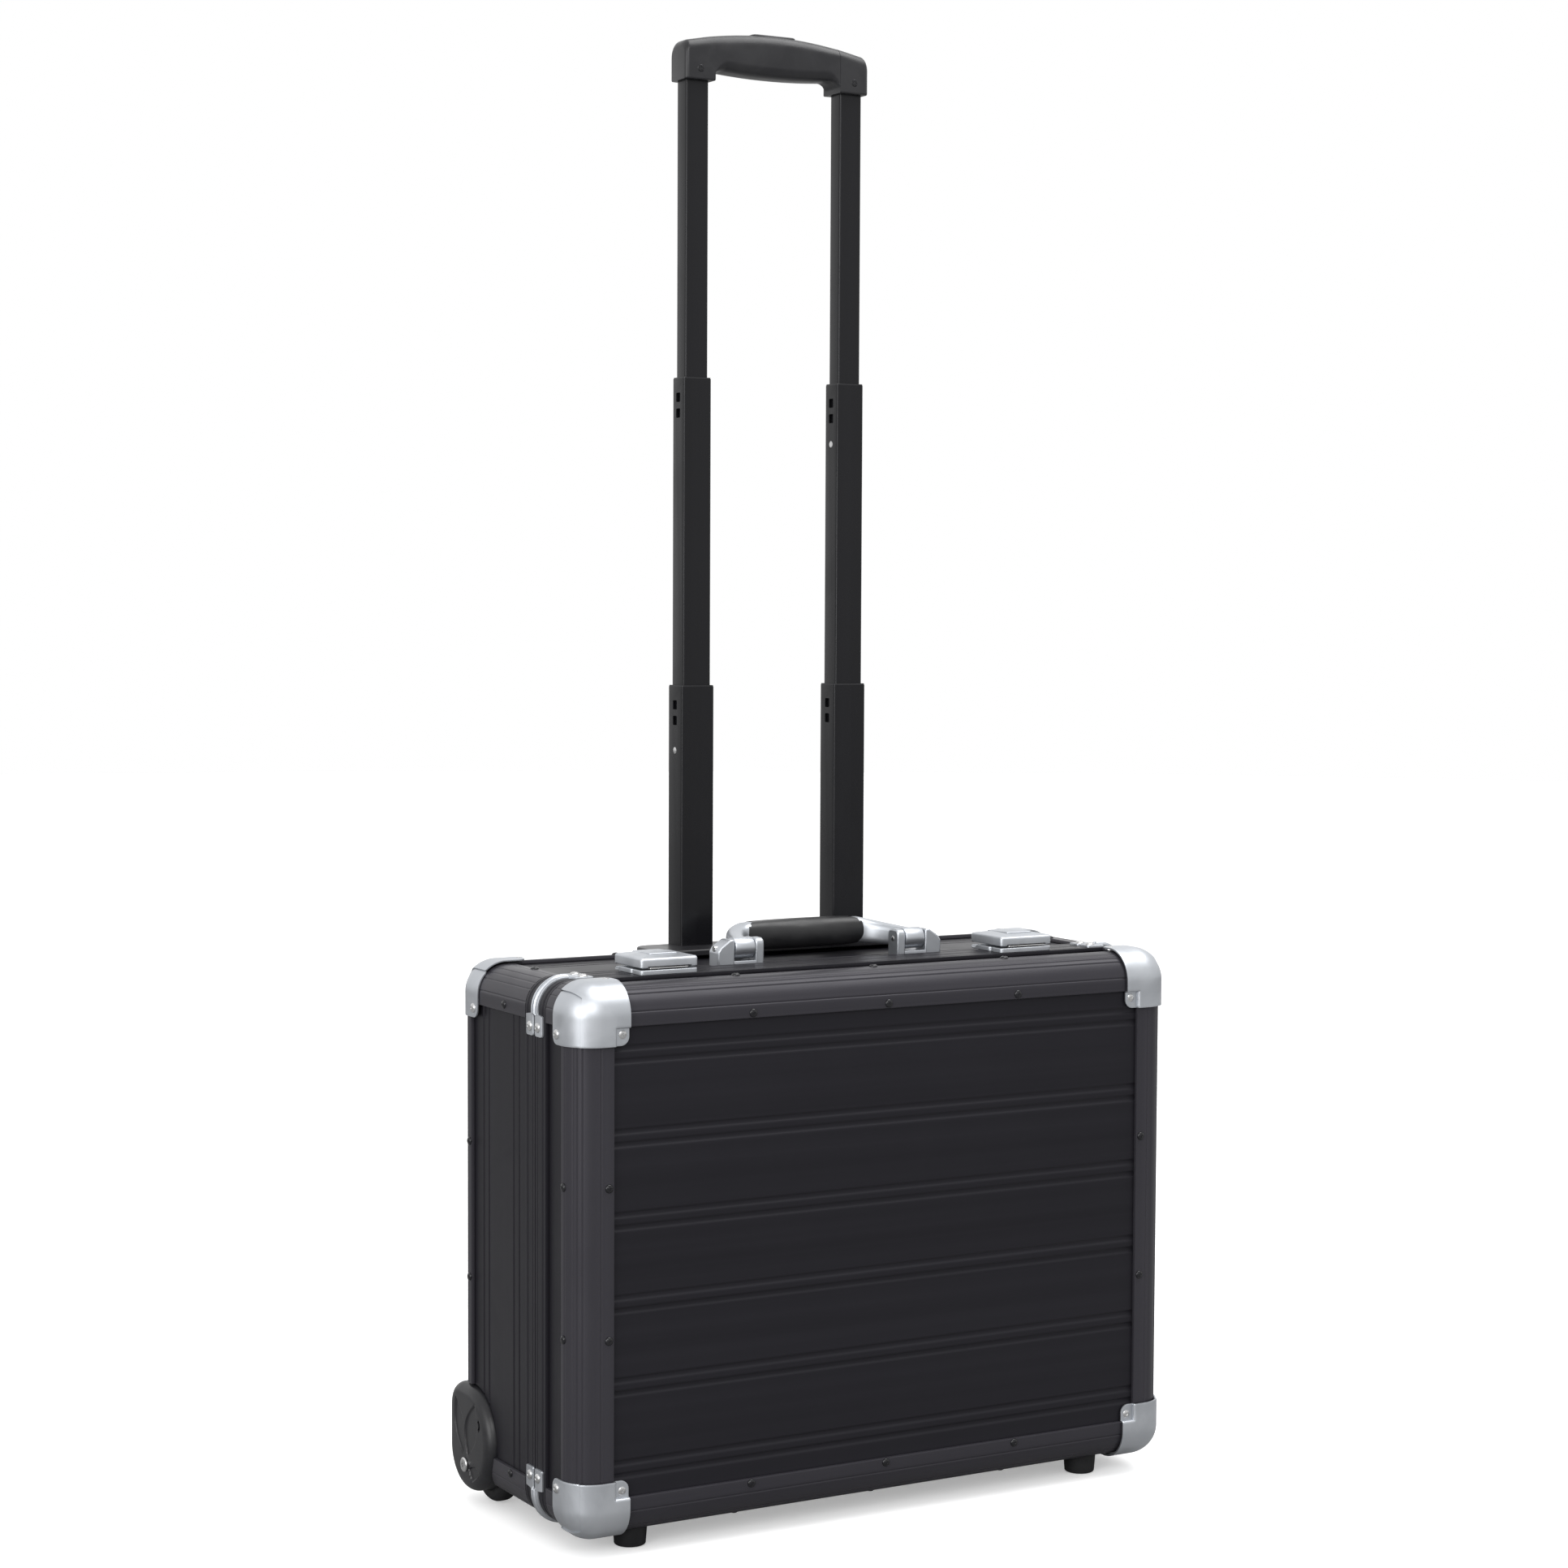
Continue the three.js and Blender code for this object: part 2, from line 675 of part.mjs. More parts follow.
/** The latch base stands on the rear half and carries the lug and the pin that the cover turns on.
 *  Under the pin it is hollowed, so that the rear of the cover has room to turn down. */
function latchBase(side) {
  const middle = side * latchX;
  const left = middle - latchHalf;
  const right = middle + latchHalf;
  const plate = block(left, right, partingDepth + gap, latchRear, latchFloor, latchTopOfBase);
  const turning = Math.hypot(latchPinBack, latchCoverHeight - latchPinRise) + gap;
  const hollow = barX(left - overcut, right + overcut, latchPinDepth, latchPinHeight, turning, 24);
  const lugLeft = middle - latchLugHalf;
  const lugRight = middle + latchLugHalf;
  const lug = barX(lugLeft, lugRight, latchPinDepth, latchPinHeight, latchLugRadius, 12);
  const front = latchPinDepth - latchLugRadius;
  const rear = latchPinDepth + latchLugRadius;
  const post = block(lugLeft, lugRight, front, rear, latchFloor, latchPinHeight);
  const reach = latchHalf - latchPinEnd;
  const pin = barX(middle - reach, middle + reach, latchPinDepth, latchPinHeight, latchPinRadius, 12);
  return join(cut(plate, hollow), lug, post, pin);
}

/** The latch cover: a crowned lever that turns up about the pin at its rear. */
function latchCover(side) {
  const middle = side * latchX;
  const floor = latchTopOfBase + gap;
  const shoulder = floor + latchCoverHeight;
  const half = (latchRear - latchFront) / 2;
  const radius = (half * half + latchCrown * latchCrown) / (2 * latchCrown);
  const reach = THREE.MathUtils.radToDeg(Math.asin(half / radius));
  const crown = arc(latchFront + half, shoulder + latchCrown - radius, radius, 90 - reach, 90 + reach, 8);
  const outline = [new THREE.Vector2(latchFront, floor), new THREE.Vector2(latchRear, floor), ...crown];
  const body = prism('x', outline, middle - latchHalf, middle + latchHalf);
  const room = latchLugRadius + latchLugRoom;
  const notchHalf = latchLugHalf + latchLugSideRoom;
  const notch = block(
    middle - notchHalf,
    middle + notchHalf,
    latchPinDepth - room,
    latchRear + overcut,
    floor - overcut,
    latchPinHeight + room,
  );
  const bore = latchPinRadius + latchPinClearance;
  const reachX = latchHalf - latchBoreEnd;
  const hole = barX(middle - reachX, middle + reachX, latchPinDepth, latchPinHeight, bore, 12);
  return cut(body, notch, hole);
}

// ---------------------------------------------------------------- carry handle

/** A handle bracket: an inner ear, an outer block, the base between them and the pivot pin. */
function handleBracket(side) {
  const half = bracketWidth / 2;
  const middle = side * bracketX;
  const rear = bracketFront + bracketDepth;
  const top = bracketFloor + bracketHeight;
  const earOutline = [
    new THREE.Vector2(bracketFront, bracketFloor),
    new THREE.Vector2(rear, bracketFloor),
    ...arc(rear - bracketCorner, top - bracketCorner, bracketCorner, 0, 90, 3),
    ...arc(bracketFront + bracketCorner, top - bracketCorner, bracketCorner, 90, 180, 3),
  ];
  const inner0 = middle - side * half;
  const inner1 = inner0 + side * bracketEar;
  const outer0 = middle + side * half;
  const outer1 = outer0 - side * bracketBlock;
  const ear = prism('x', earOutline, Math.min(inner0, inner1), Math.max(inner0, inner1));
  const outer = prism('x', earOutline, Math.min(outer0, outer1), Math.max(outer0, outer1));
  const baseTop = bracketFloor + bracketBase;
  const base = block(middle - half, middle + half, bracketFront, rear, bracketFloor, baseTop);
  const pin = barX(middle - half, middle + half, handleAxisDepth, handleAxis, handlePinRadius, 12);
  return join(ear, outer, base, pin);
}

const barrelInner = bracketX - bracketWidth / 2 + bracketEar + gap;
const barrelOuter = bracketX + bracketWidth / 2 - bracketBlock - gap;

/** The silver frame of the carry handle: a barrel and an arm at each end, and the bar between. */
function carryHandleFrame() {
  const barTop = handleBarCentre + handleBarHeight / 2;
  const barBottom = handleBarCentre - handleBarHeight / 2;
  const barRear = handleBarDepth + handleBarWidth / 2;
  const barFront = handleBarDepth - handleBarWidth / 2;
  const cornerDepth = barRear - handleBarCorner;
  const armOutline = [
    ...arc(handleAxisDepth, handleAxis, handleBarrelRadius, 90, 270, 6),
    ...arc(cornerDepth, barBottom + handleBarCorner, handleBarCorner, 270, 360, 3),
    ...arc(cornerDepth, barTop - handleBarCorner, handleBarCorner, 0, 90, 3),
  ];
  const pieces = [];
  for (const side of [-1, 1]) {
    const a = side * barrelInner;
    const b = side * barrelOuter;
    pieces.push(prism('x', armOutline, Math.min(a, b), Math.max(a, b)));
    const end = side * (gripLength / 2 + gap);
    const section = roundedRectangle(barFront, barRear, barBottom, barTop, handleBarCorner, 3);
    pieces.push(prism('x', section, Math.min(a, end), Math.max(a, end)));
  }
  const core0 = handleBarDepth - handleCoreWidth / 2;
  const core1 = handleBarDepth + handleCoreWidth / 2;
  const half = handleCoreHeight / 2;
  pieces.push(block(-barrelInner, barrelInner, core0, core1, handleBarCentre - half, handleBarCentre + half));
  const bore = handlePinRadius + handlePinClearance;
  const far = barrelOuter + overcut;
  return cut(join(...pieces), barX(-far, far, handleAxisDepth, handleAxis, bore, 12));
}

/** The padded sleeve on the carry handle. */
function carryHandleGrip() {
  const about = (w, h, radius, steps) => roundedRectangle(
    handleBarDepth - w,
    handleBarDepth + w,
    handleBarCentre - h,
    handleBarCentre + h,
    radius,
    steps,
  );
  const outline = about(gripWidth / 2, gripHeight / 2, gripCorner, 4);
  const hole = about(handleCoreWidth / 2 + gap, handleCoreHeight / 2 + gap, gap, 1);
  return prism('x', outline, -gripLength / 2, gripLength / 2, hole);
}

// ---------------------------------------------------------------- trolley

/** The outline of a stage of the trolley: 0 is the lower stage. grow widens it all round. */
function stageOutline(stage, side, grow) {
  const w = (lowerWidth - stage * widthStep) / 2 + grow;
  const d = (lowerDepth - stage * depthStep) / 2 + grow;
  const x = side * trolleyX;
  const corner = tubeCorner + grow;
  return roundedRectangle(x - w, x + w, trolleyDepth - d, trolleyDepth + d, corner, 2);
}

/** A sliding tube of the trolley, with lock windows in both sides of the lower two stages. */
function stageTube(stage, side, bottom, top) {
  const tube = prism('z', stageOutline(stage, side, 0), bottom, top, stageOutline(stage, side, -tubeWall));
  if (stage > 1) {
    return tube;
  }
  const x = side * trolleyX;
  const windows = windowDrops.map((drop) => block(
    x - lowerWidth,
    x + lowerWidth,
    trolleyDepth - windowDepth / 2,
    trolleyDepth + windowDepth / 2,
    top - drop - windowHeight / 2,
    top - drop + windowHeight / 2,
  ));
  return cut(tube, ...windows);
}

const sleeveGrow = slideClearance + fixedWall;

/** The carrier: both fixed tubes, joined by a bridge at the bottom. */
function trolleyCarrier() {
  const halfDepth = lowerDepth / 2 + sleeveGrow;
  const halfBridge = trolleyX + lowerWidth / 2 + sleeveGrow;
  const bridge = block(
    -halfBridge,
    halfBridge,
    trolleyDepth - halfDepth,
    trolleyDepth + halfDepth,
    fixedBottom - bridgeHeight,
    fixedBottom,
  );
  const pair = (grow, start, end) => (
    [-1, 1].map((side) => prism('z', stageOutline(0, side, grow), start, end))
  );
  const tubes = pair(sleeveGrow, fixedBottom - bridgeHeight, caseTop);
  const bores = pair(slideClearance, fixedBottom, caseTop + overcut);
  return cut(join(bridge, ...tubes), ...bores);
}

/** Room for the carrier's tubes through the top of the case. */
const carrierRoom = [-1, 1].map((side) => {
  const outline = stageOutline(0, side, sleeveGrow + gap);
  return prism('z', outline, straightTop - edgeRadius, caseTop + overcut);
});

function trolleyCollar() {
  const rear = caseDepth - collarRearGap;
  const plan = roundedRectangle(-collarHalfWidth, collarHalfWidth, collarFront, rear, collarCorner, 4);
  const plate = prism('z', plan, collarFloor, collarTop);
  const floor = collarFloor - overcut;
  const top = collarTop + overcut;
  const holes = [-1, 1].map((side) => prism('z', stageOutline(0, side, slideClearance), floor, top));
  return cut(plate, ...holes);
}

const gripHalf = trolleyX + gripLegWidth / 2;
const gripUnder = legBottom + gripLegDrop;
const gripTop = gripUnder + gripBarHeight;
const buttonTop = gripTop + buttonProud;
const pocketFloor = gripTop - buttonWall - buttonTravel;

/** The release button seen from above, grown all round. */
function buttonPlan(grow) {
  const half = buttonLength / 2 + grow;
  const front = trolleyDepth - buttonDepth / 2 - grow;
  const rear = trolleyDepth + buttonDepth / 2 + grow;
  return roundedRectangle(-half, half, front, rear, buttonCorner + grow, 3);
}

/** The trolley grip: an arched bar with a short leg and a socket over each upper tube. */
function trolleyGrip() {
  const endTop = gripTop - gripArch;
  const radius = (gripHalf * gripHalf + gripArch * gripArch) / (2 * gripArch);
  const reach = THREE.MathUtils.radToDeg(Math.asin((gripHalf - gripShoulder) / radius));
  const legInner = gripHalf - gripLegWidth;
  const outline = [
    new THREE.Vector2(-gripHalf, legBottom),
    new THREE.Vector2(-legInner, legBottom),
    new THREE.Vector2(-legInner, gripUnder),
    new THREE.Vector2(legInner, gripUnder),
    new THREE.Vector2(legInner, legBottom),
    new THREE.Vector2(gripHalf, legBottom),
    new THREE.Vector2(gripHalf, endTop - gripShoulderDrop),
    ...arc(0, gripTop - radius, radius, 90 - reach, 90 + reach, 10),
    new THREE.Vector2(-gripHalf, endTop - gripShoulderDrop),
  ];
  const half = gripLegDepth / 2;
  const body = prism('y', outline, trolleyDepth - half, trolleyDepth + half);
  const start = legBottom - overcut;
  const end = legBottom + socketDepth + socketClearance;
  const sockets = [-1, 1].map((side) => prism('z', stageOutline(2, side, socketClearance), start, end));
  const pocket = prism('z', buttonPlan(buttonClearance), pocketFloor, gripTop + overcut);
  return cut(body, ...sockets, pocket);
}

function releaseButton() {
  return prism('z', buttonPlan(0), pocketFloor + buttonTravel + gap, buttonTop);
}

// ---------------------------------------------------------------- the case, put together

const suitcase = new THREE.Group();
suitcase.position.y = -originDepth;

function add(name, geometry, material) {
  const mesh = new THREE.Mesh(geometry, material());
  mesh.name = name;
  suitcase.add(mesh);
}

const sides = [['left', -1], ['right', 1]];
const levels = [['top', 1], ['bottom', -1]];

// the lid
add('front_panel', facePanel(panelInset, 1), blackAluminium);
add('lid_side_band', lidSideBand(), blackAluminium);
add('lid_frame', lidFrame(), blackAluminium);
add('lid_lining', lidLining(), fabric);
add('hinge_leaf_lid', hingeLeaf(-1), steel);
for (const [sideName, side] of sides) {
  add(`lid_profile_${sideName}`, uprightProfile(side, -1), blackAluminium);
  add(`foot_${sideName}`, foot(side), rubber);
  add(`latch_strike_${sideName}`, latchStrike(side), silver);
  for (const [levelName, level] of levels) {
    add(`lid_cap_${levelName}_${sideName}`, cornerCap(side, level, -1), silver);
  }
}
for (const [levelName, level] of levels) {
  add(`lid_profile_${levelName}`, levelProfile(level, -1), blackAluminium);
}

// the rear half
add('rear_panel', cut(facePanel(caseDepth - panelInset, -1), ...wells), blackAluminium);
add('rear_frame', rearFrame(), blackAluminium);
add('rear_lining', rearLining(), fabric);
add('hinge_leaf_rear', hingeLeaf(1), steel);
add('top_panel', cut(endPanel(1), ...carrierRoom), blackAluminium);
add('bottom_panel', cut(endPanel(-1), ...wells), blackAluminium);
add('rear_profile_top', cut(levelProfile(1, 1), ...carrierRoom), blackAluminium);
add('rear_profile_bottom', cut(levelProfile(-1, 1), ...wells), blackAluminium);
for (const [sideName, side] of sides) {
  add(`side_panel_${sideName}`, cut(sidePanel(side), ...wells), blackAluminium);
  add(`rear_profile_${sideName}`, cut(uprightProfile(side, 1), ...wells), blackAluminium);
  add(`rear_cap_${sideName}`, cornerCap(side, 1, 1), silver);
  for (const [levelName, level] of levels) {
    const profile = cut(cornerProfile(side, level), ...wells);
    add(`corner_profile_${levelName}_${sideName}`, profile, blackAluminium);
  }
}

// wheels
const bySide = { left: (geometry) => geometry, right: mirrored };
for (const [sideName] of sides) {
  add(`wheel_housing_${sideName}`, bySide[sideName](wheelHousing()), blackPlastic);
  add(`wheel_axle_${sideName}`, bySide[sideName](wheelAxle()), steel);
  add(`wheel_${sideName}`, bySide[sideName](wheel()), rubber);
}

// latches and carry handle
for (const [sideName, side] of sides) {
  add(`latch_base_${sideName}`, latchBase(side), silver);
  add(`latch_cover_${sideName}`, latchCover(side), silver);
  add(`handle_bracket_${sideName}`, handleBracket(side), silver);
}
add('carry_handle_frame', carryHandleFrame(), silver);
add('carry_handle_grip', carryHandleGrip(), padding);

// trolley
add('trolley_carrier', trolleyCarrier(), blackAluminium);
add('trolley_collar', trolleyCollar(), blackPlastic);
for (const [sideName, side] of sides) {
  add(`lower_tube_${sideName}`, stageTube(0, side, collarTop - stageOverlap, lowerTop), blackAluminium);
  add(`middle_tube_${sideName}`, stageTube(1, side, lowerTop - stageOverlap, middleTop), blackAluminium);
  const upperTop = legBottom + socketDepth;
  add(`upper_tube_${sideName}`, stageTube(2, side, middleTop - stageOverlap, upperTop), blackAluminium);
}
add('trolley_grip', trolleyGrip(), blackPlastic);
add('release_button', releaseButton(), blackPlastic);

export default suitcase;
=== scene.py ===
# %% [markdown]
# # A wheeled aluminium case with a telescopic trolley handle
# The measured model of the case comes in first as a fixed frame, already split into the bodies that
# move. Everything made below is a finer skin for one of its pieces, in the same place, riding on the
# same body. The cells go from the outside sheets inwards to the small hardware, and each one starts
# with what the real piece is and why it is made the way it is.

# %% Load the frame
import math

import bmesh
import bpy
import numpy as np
from mathutils import Matrix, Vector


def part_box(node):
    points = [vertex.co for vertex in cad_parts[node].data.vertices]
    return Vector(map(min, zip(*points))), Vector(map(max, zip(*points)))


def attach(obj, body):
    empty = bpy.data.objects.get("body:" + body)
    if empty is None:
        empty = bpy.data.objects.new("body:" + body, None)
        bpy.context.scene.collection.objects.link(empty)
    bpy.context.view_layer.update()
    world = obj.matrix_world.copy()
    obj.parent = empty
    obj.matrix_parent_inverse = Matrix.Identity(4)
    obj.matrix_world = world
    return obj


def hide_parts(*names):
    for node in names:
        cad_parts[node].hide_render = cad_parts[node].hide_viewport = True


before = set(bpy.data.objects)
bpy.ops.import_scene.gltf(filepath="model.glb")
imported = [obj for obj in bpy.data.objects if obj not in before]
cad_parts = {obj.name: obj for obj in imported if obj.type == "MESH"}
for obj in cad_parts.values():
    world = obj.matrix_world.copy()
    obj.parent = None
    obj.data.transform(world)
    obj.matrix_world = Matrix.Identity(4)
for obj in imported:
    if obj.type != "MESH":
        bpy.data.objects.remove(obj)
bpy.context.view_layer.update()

# %% [markdown]
# ## Where things are
# It is easier to think about a case in its own millimetres: x to the right from its middle, y back
# from its front face, z up from the floor. The few sizes that everything else hangs on are read from
# the frame's own boxes, so the skin always fits the frame, and one function turns case millimetres
# into the metres of the frame. Sides, levels and faces are signs: -1 is left, bottom or front.

# %% Case coordinates
MM = 0.001
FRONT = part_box("lid_profile_left")[0][1]
low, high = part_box("rear_frame")
HALF = high[0] / MM
BOTTOM = low[2] / MM
TOP = high[2] / MM
BACK = (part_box("rear_profile_left")[1][1] - FRONT) / MM
PARTING = (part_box("lid_frame")[1][1] - FRONT) / MM + 0.15
LID_FRAME_FRONT = (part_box("lid_frame")[0][1] - FRONT) / MM
REAR_FRAME_BACK = (high[1] - FRONT) / MM
ROUND = 20.0  # radius of every long edge
GAP = 0.3  # between pieces that touch
ENTERS = 4.6  # how far a panel goes into a closing frame
SIDES = (("left", -1), ("right", 1))
LEVELS = (("top", 1), ("bottom", -1))


def place(points):
    """Case millimetres to frame metres: everything times 0.001, and y counted from the front face."""
    return np.asarray(points, float) * MM + np.array([0.0, FRONT, 0.0])


def inside(node):
    """A node's lowest and highest corner in case millimetres."""
    a, b = (np.array(corner) - np.array([0.0, FRONT, 0.0]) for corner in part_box(node))
    return a / MM, b / MM


def from_side(side, a):
    """x at a distance a inwards from the left or the right of the case."""
    return side * (HALF - a)


def from_face(face, b):
    """y at a distance b inwards from the front or the rear."""
    return b if face < 0 else BACK - b


def from_level(level, c):
    """z at a distance c inwards from the top or the bottom."""
    return TOP - c if level > 0 else BOTTOM + c


print(f"case {2 * HALF:.0f} x {BACK:.0f} x {TOP - BOTTOM:.0f} mm, halves meet at {PARTING:.1f}")

# %% [markdown]
# ## Finishes
# Every finish is one Principled BSDF with procedural detail. Three effects turn up in more than one
# finish, so each is a node group with its own inputs: the fine lines that an extrusion die leaves,
# the slight unevenness of handled metal, and the grain of moulded plastic. The lines run along one
# axis, so the black aluminium exists three times, once for each direction a piece was extruded in.

# %% Node helpers
FLOAT, VECTOR = "NodeSocketFloat", "NodeSocketVector"


def new_group(title, inputs, outputs):
    """A shader node group that reads a Vector, with named float inputs and outputs."""
    group = bpy.data.node_groups.new(title, "ShaderNodeTree")
    group.interface.new_socket(name="Vector", in_out="INPUT", socket_type=VECTOR)
    for label, value in inputs.items():
        group.interface.new_socket(name=label, in_out="INPUT", socket_type=FLOAT).default_value = value
    for label in outputs:
        group.interface.new_socket(name=label, in_out="OUTPUT", socket_type=FLOAT)
    return group, group.nodes.new("NodeGroupInput"), group.nodes.new("NodeGroupOutput")


def node(tree, kind, **values):
    """A node with its properties and its named inputs set."""
    made = tree.nodes.new(kind)
    for key, value in values.items():
        if hasattr(made, key):
            setattr(made, key, value)
        else:
            made.inputs[key.replace("_", " ")].default_value = value
    return made


def wire(tree, *rows):
    """Links, one for each row of (node, its output, node, its input)."""
    for start, output, end, target in rows:
        tree.links.new(start.outputs[output], end.inputs[target])


# %% Extrusion lines
def extrusion_lines():
    """Noise read from coordinates that are stretched along the extrusion, so it becomes lines:
    height = 0.7 x fine lines + 0.3 x broad lines, and Shade is the broad lines alone."""
    group, start, end = new_group("extrusion lines", {"Fine": 1500.0, "Broad": 90.0}, ["Height", "Shade"])
    fine = node(group, "ShaderNodeTexNoise", Detail=2.0, Roughness=0.6)
    broad = node(group, "ShaderNodeTexNoise", Detail=3.0, Roughness=0.55)
    part = node(group, "ShaderNodeMath", operation="MULTIPLY")
    part.inputs[1].default_value = 0.3
    total = node(group, "ShaderNodeMath", operation="MULTIPLY_ADD")
    total.inputs[1].default_value = 0.7
    wire(group, (start, "Vector", fine, "Vector"), (start, "Vector", broad, "Vector"),
         (start, "Fine", fine, "Scale"), (start, "Broad", broad, "Scale"), (broad, "Fac", part, 0),
         (fine, "Fac", total, 0), (part, 0, total, 2), (total, 0, end, "Height"), (broad, "Fac", end, "Shade"))
    return group


LINES = extrusion_lines()

# %% Handling marks
def handling():
    """Cloudy patches where hands and cloths have been: Patch runs from 0 to 1 with soft borders."""
    group, start, end = new_group("handling marks", {"Size": 14.0, "Low": 0.4, "High": 0.65}, ["Patch"])
    noise = node(group, "ShaderNodeTexNoise", Detail=4.0, Roughness=0.6, Distortion=0.6)
    ramp = node(group, "ShaderNodeMapRange", interpolation_type="SMOOTHSTEP")
    wire(group, (start, "Vector", noise, "Vector"), (start, "Size", noise, "Scale"),
         (noise, "Fac", ramp, "Value"),
         (start, "Low", ramp, "From Min"), (start, "High", ramp, "From Max"), (ramp, "Result", end, "Patch"))
    return group


HANDLING = handling()

# %% Grain
def grain():
    """Moulded grain: cell borders of a fine Voronoi pattern, softened by noise, as a height."""
    group, start, end = new_group("moulded grain", {"Scale": 1400.0}, ["Height"])
    cells = node(group, "ShaderNodeTexVoronoi", feature="SMOOTH_F1")
    cloud = node(group, "ShaderNodeTexNoise", Detail=3.0)
    total = node(group, "ShaderNodeMath", operation="ADD")
    for pattern in (cells, cloud):
        wire(group, (start, "Vector", pattern, "Vector"), (start, "Scale", pattern, "Scale"))
    wire(group, (cells, "Distance", total, 0), (cloud, "Fac", total, 1), (total, 0, end, "Height"))
    return group


GRAIN = grain()

# %% [markdown]
# ### From groups to finishes
# A finish starts as a plain Principled BSDF. Its steady values sit on the shader's own sockets. What
# changes over the surface, a colour between two shades, the roughness and the bump, comes from a
# group through a Mix or a Map Range.

# %% One finish
def new_material(title):
    """A material, its tree, its Principled BSDF and a Texture Coordinate node."""
    material = bpy.data.materials.new(title)
    material.use_nodes = True
    tree = material.node_tree
    return material, tree, tree.nodes["Principled BSDF"], tree.nodes.new("ShaderNodeTexCoord")


def two_shades(tree, shader, source, output, color, other):
    """Base Color goes from one shade to the other as an output of the source goes from 0 to 1."""
    shades = node(tree, "ShaderNodeMix", data_type="RGBA")
    shades.inputs["A"].default_value = (*color, 1)
    shades.inputs["B"].default_value = (*other, 1)
    wire(tree, (source, output, shades, "Factor"), (shades, "Result", shader, "Base Color"))


def finish(title, color, other, rough, metal, detail_group, bump, stretch=(1, 1, 1), scale=None,
           size=14.0, specular=0.5):
    """color and other are two shades, mixed by the broad lines or, where the group has none, by the
    patches; rough is (low, high); bump is (height in metres, strength) of the group's Height, read
    from Object coordinates times stretch; scale is the grain's, and size the patches'; specular is
    the Specular IOR Level."""
    material, tree, shader, coords = new_material(title)
    shader.inputs["Metallic"].default_value = metal
    shader.inputs["Specular IOR Level"].default_value = specular
    stretched = node(tree, "ShaderNodeMapping", Scale=stretch)
    detail, patches = tree.nodes.new("ShaderNodeGroup"), tree.nodes.new("ShaderNodeGroup")
    detail.node_tree, patches.node_tree = detail_group, HANDLING
    patches.inputs["Size"].default_value = size
    if scale:
        detail.inputs["Scale"].default_value = scale
    lined = detail_group == LINES
    two_shades(tree, shader, detail if lined else patches, "Shade" if lined else "Patch", color, other)
    roughness = node(tree, "ShaderNodeMapRange", To_Min=rough[0], To_Max=rough[1])
    relief = node(tree, "ShaderNodeBump", Distance=bump[0], Strength=bump[1])
    wire(tree, (coords, "Object", stretched, "Vector"), (stretched, "Vector", detail, "Vector"),
         (coords, "Object", patches, "Vector"), (patches, "Patch", roughness, "Value"),
         (roughness, "Result", shader, "Roughness"), (detail, "Height", relief, "Height"),
         (relief, "Normal", shader, "Normal"))
    return material


ALONG = {"x": (0.004, 1, 1), "y": (1, 0.004, 1), "z": (1, 1, 0.004)}
BLACK = {
    axis: finish(f"black aluminium along {axis}", (0.0100, 0.0096, 0.0122), (0.0175, 0.0168, 0.0210),
                 (0.34, 0.42), 0.15, LINES, (0.00010, 0.22), stretch, size=9.0, specular=0.14)
    for axis, stretch in ALONG.items()
}
# The edge profiles are the same black aluminium as the panels, in a lighter copy: the lighter colour is painted
# highlight for their rounded edges.
PAINTED_HIGHLIGHT_EDGE = {
    axis: finish(f"edge profile along {axis}", (0.0240, 0.0230, 0.0280), (0.0450, 0.0430, 0.0510),
                 (0.30, 0.38), 0.25, LINES, (0.00012, 0.30), stretch, size=9.0, specular=0.22)
    for axis, stretch in ALONG.items()
}
SILVER = finish("silver metal", (0.46, 0.48, 0.51), (0.52, 0.54, 0.57), (0.40, 0.46), 0.92,
                GRAIN, (0.00003, 0.06), scale=2600.0, size=22.0)
STEEL = finish("bright steel", (0.60, 0.60, 0.60), (0.50, 0.50, 0.50), (0.22, 0.30), 1.0,
               GRAIN, (0.00002, 0.08), scale=3000.0, size=60.0)
STUD = finish("black rivet", (0.008, 0.008, 0.010), (0.012, 0.012, 0.014), (0.12, 0.18), 0.3,
              GRAIN, (0.00002, 0.08), scale=2500.0, size=60.0)
PLASTIC = finish("black plastic", (0.013, 0.013, 0.015), (0.019, 0.019, 0.021), (0.32, 0.42), 0.0,
                 GRAIN, (0.00006, 0.22), scale=1900.0, size=25.0, specular=0.36)
RUBBER = finish("black rubber", (0.010, 0.010, 0.011), (0.016, 0.016, 0.017), (0.5, 0.7), 0.0,
                GRAIN, (0.00010, 0.4), scale=900.0, size=40.0, specular=0.25)
PADDING = finish("handle padding", (0.008, 0.008, 0.009), (0.012, 0.012, 0.013), (0.36, 0.48), 0.0,
                 GRAIN, (0.00007, 0.25), scale=1500.0, size=35.0)
TUBE = finish("black tube", (0.006, 0.006, 0.007), (0.010, 0.010, 0.012), (0.24, 0.34), 0.2,
              LINES, (0.00005, 0.15), ALONG["z"], size=12.0, specular=0.28)
print("finishes:", ", ".join(m.name for m in bpy.data.materials if m.use_nodes))

# %% [markdown]
# ### Lining
# The lining is a woven cloth. Two Wave patterns at right angles give the threads, and their product
# is high only where threads cross, which is what a plain weave looks like at arm's length.

# %% Woven finish
def woven(title, color, other, threads):
    """A plain weave: the product of two sine waves across each other, in shade and in height."""
    material, tree, shader, coords = new_material(title)
    shader.inputs["Roughness"].default_value = 0.92
    weave = node(tree, "ShaderNodeMath", operation="MULTIPLY")
    relief = node(tree, "ShaderNodeBump", Distance=0.0002, Strength=0.5)
    for slot, direction in enumerate("XZ"):
        wave = node(tree, "ShaderNodeTexWave", bands_direction=direction, Scale=threads, Distortion=0.4)
        wire(tree, (coords, "Object", wave, "Vector"), (wave, "Fac", weave, slot))
    two_shades(tree, shader, weave, 0, color, other)
    wire(tree, (weave, 0, relief, "Height"), (relief, "Normal", shader, "Normal"))
    return material


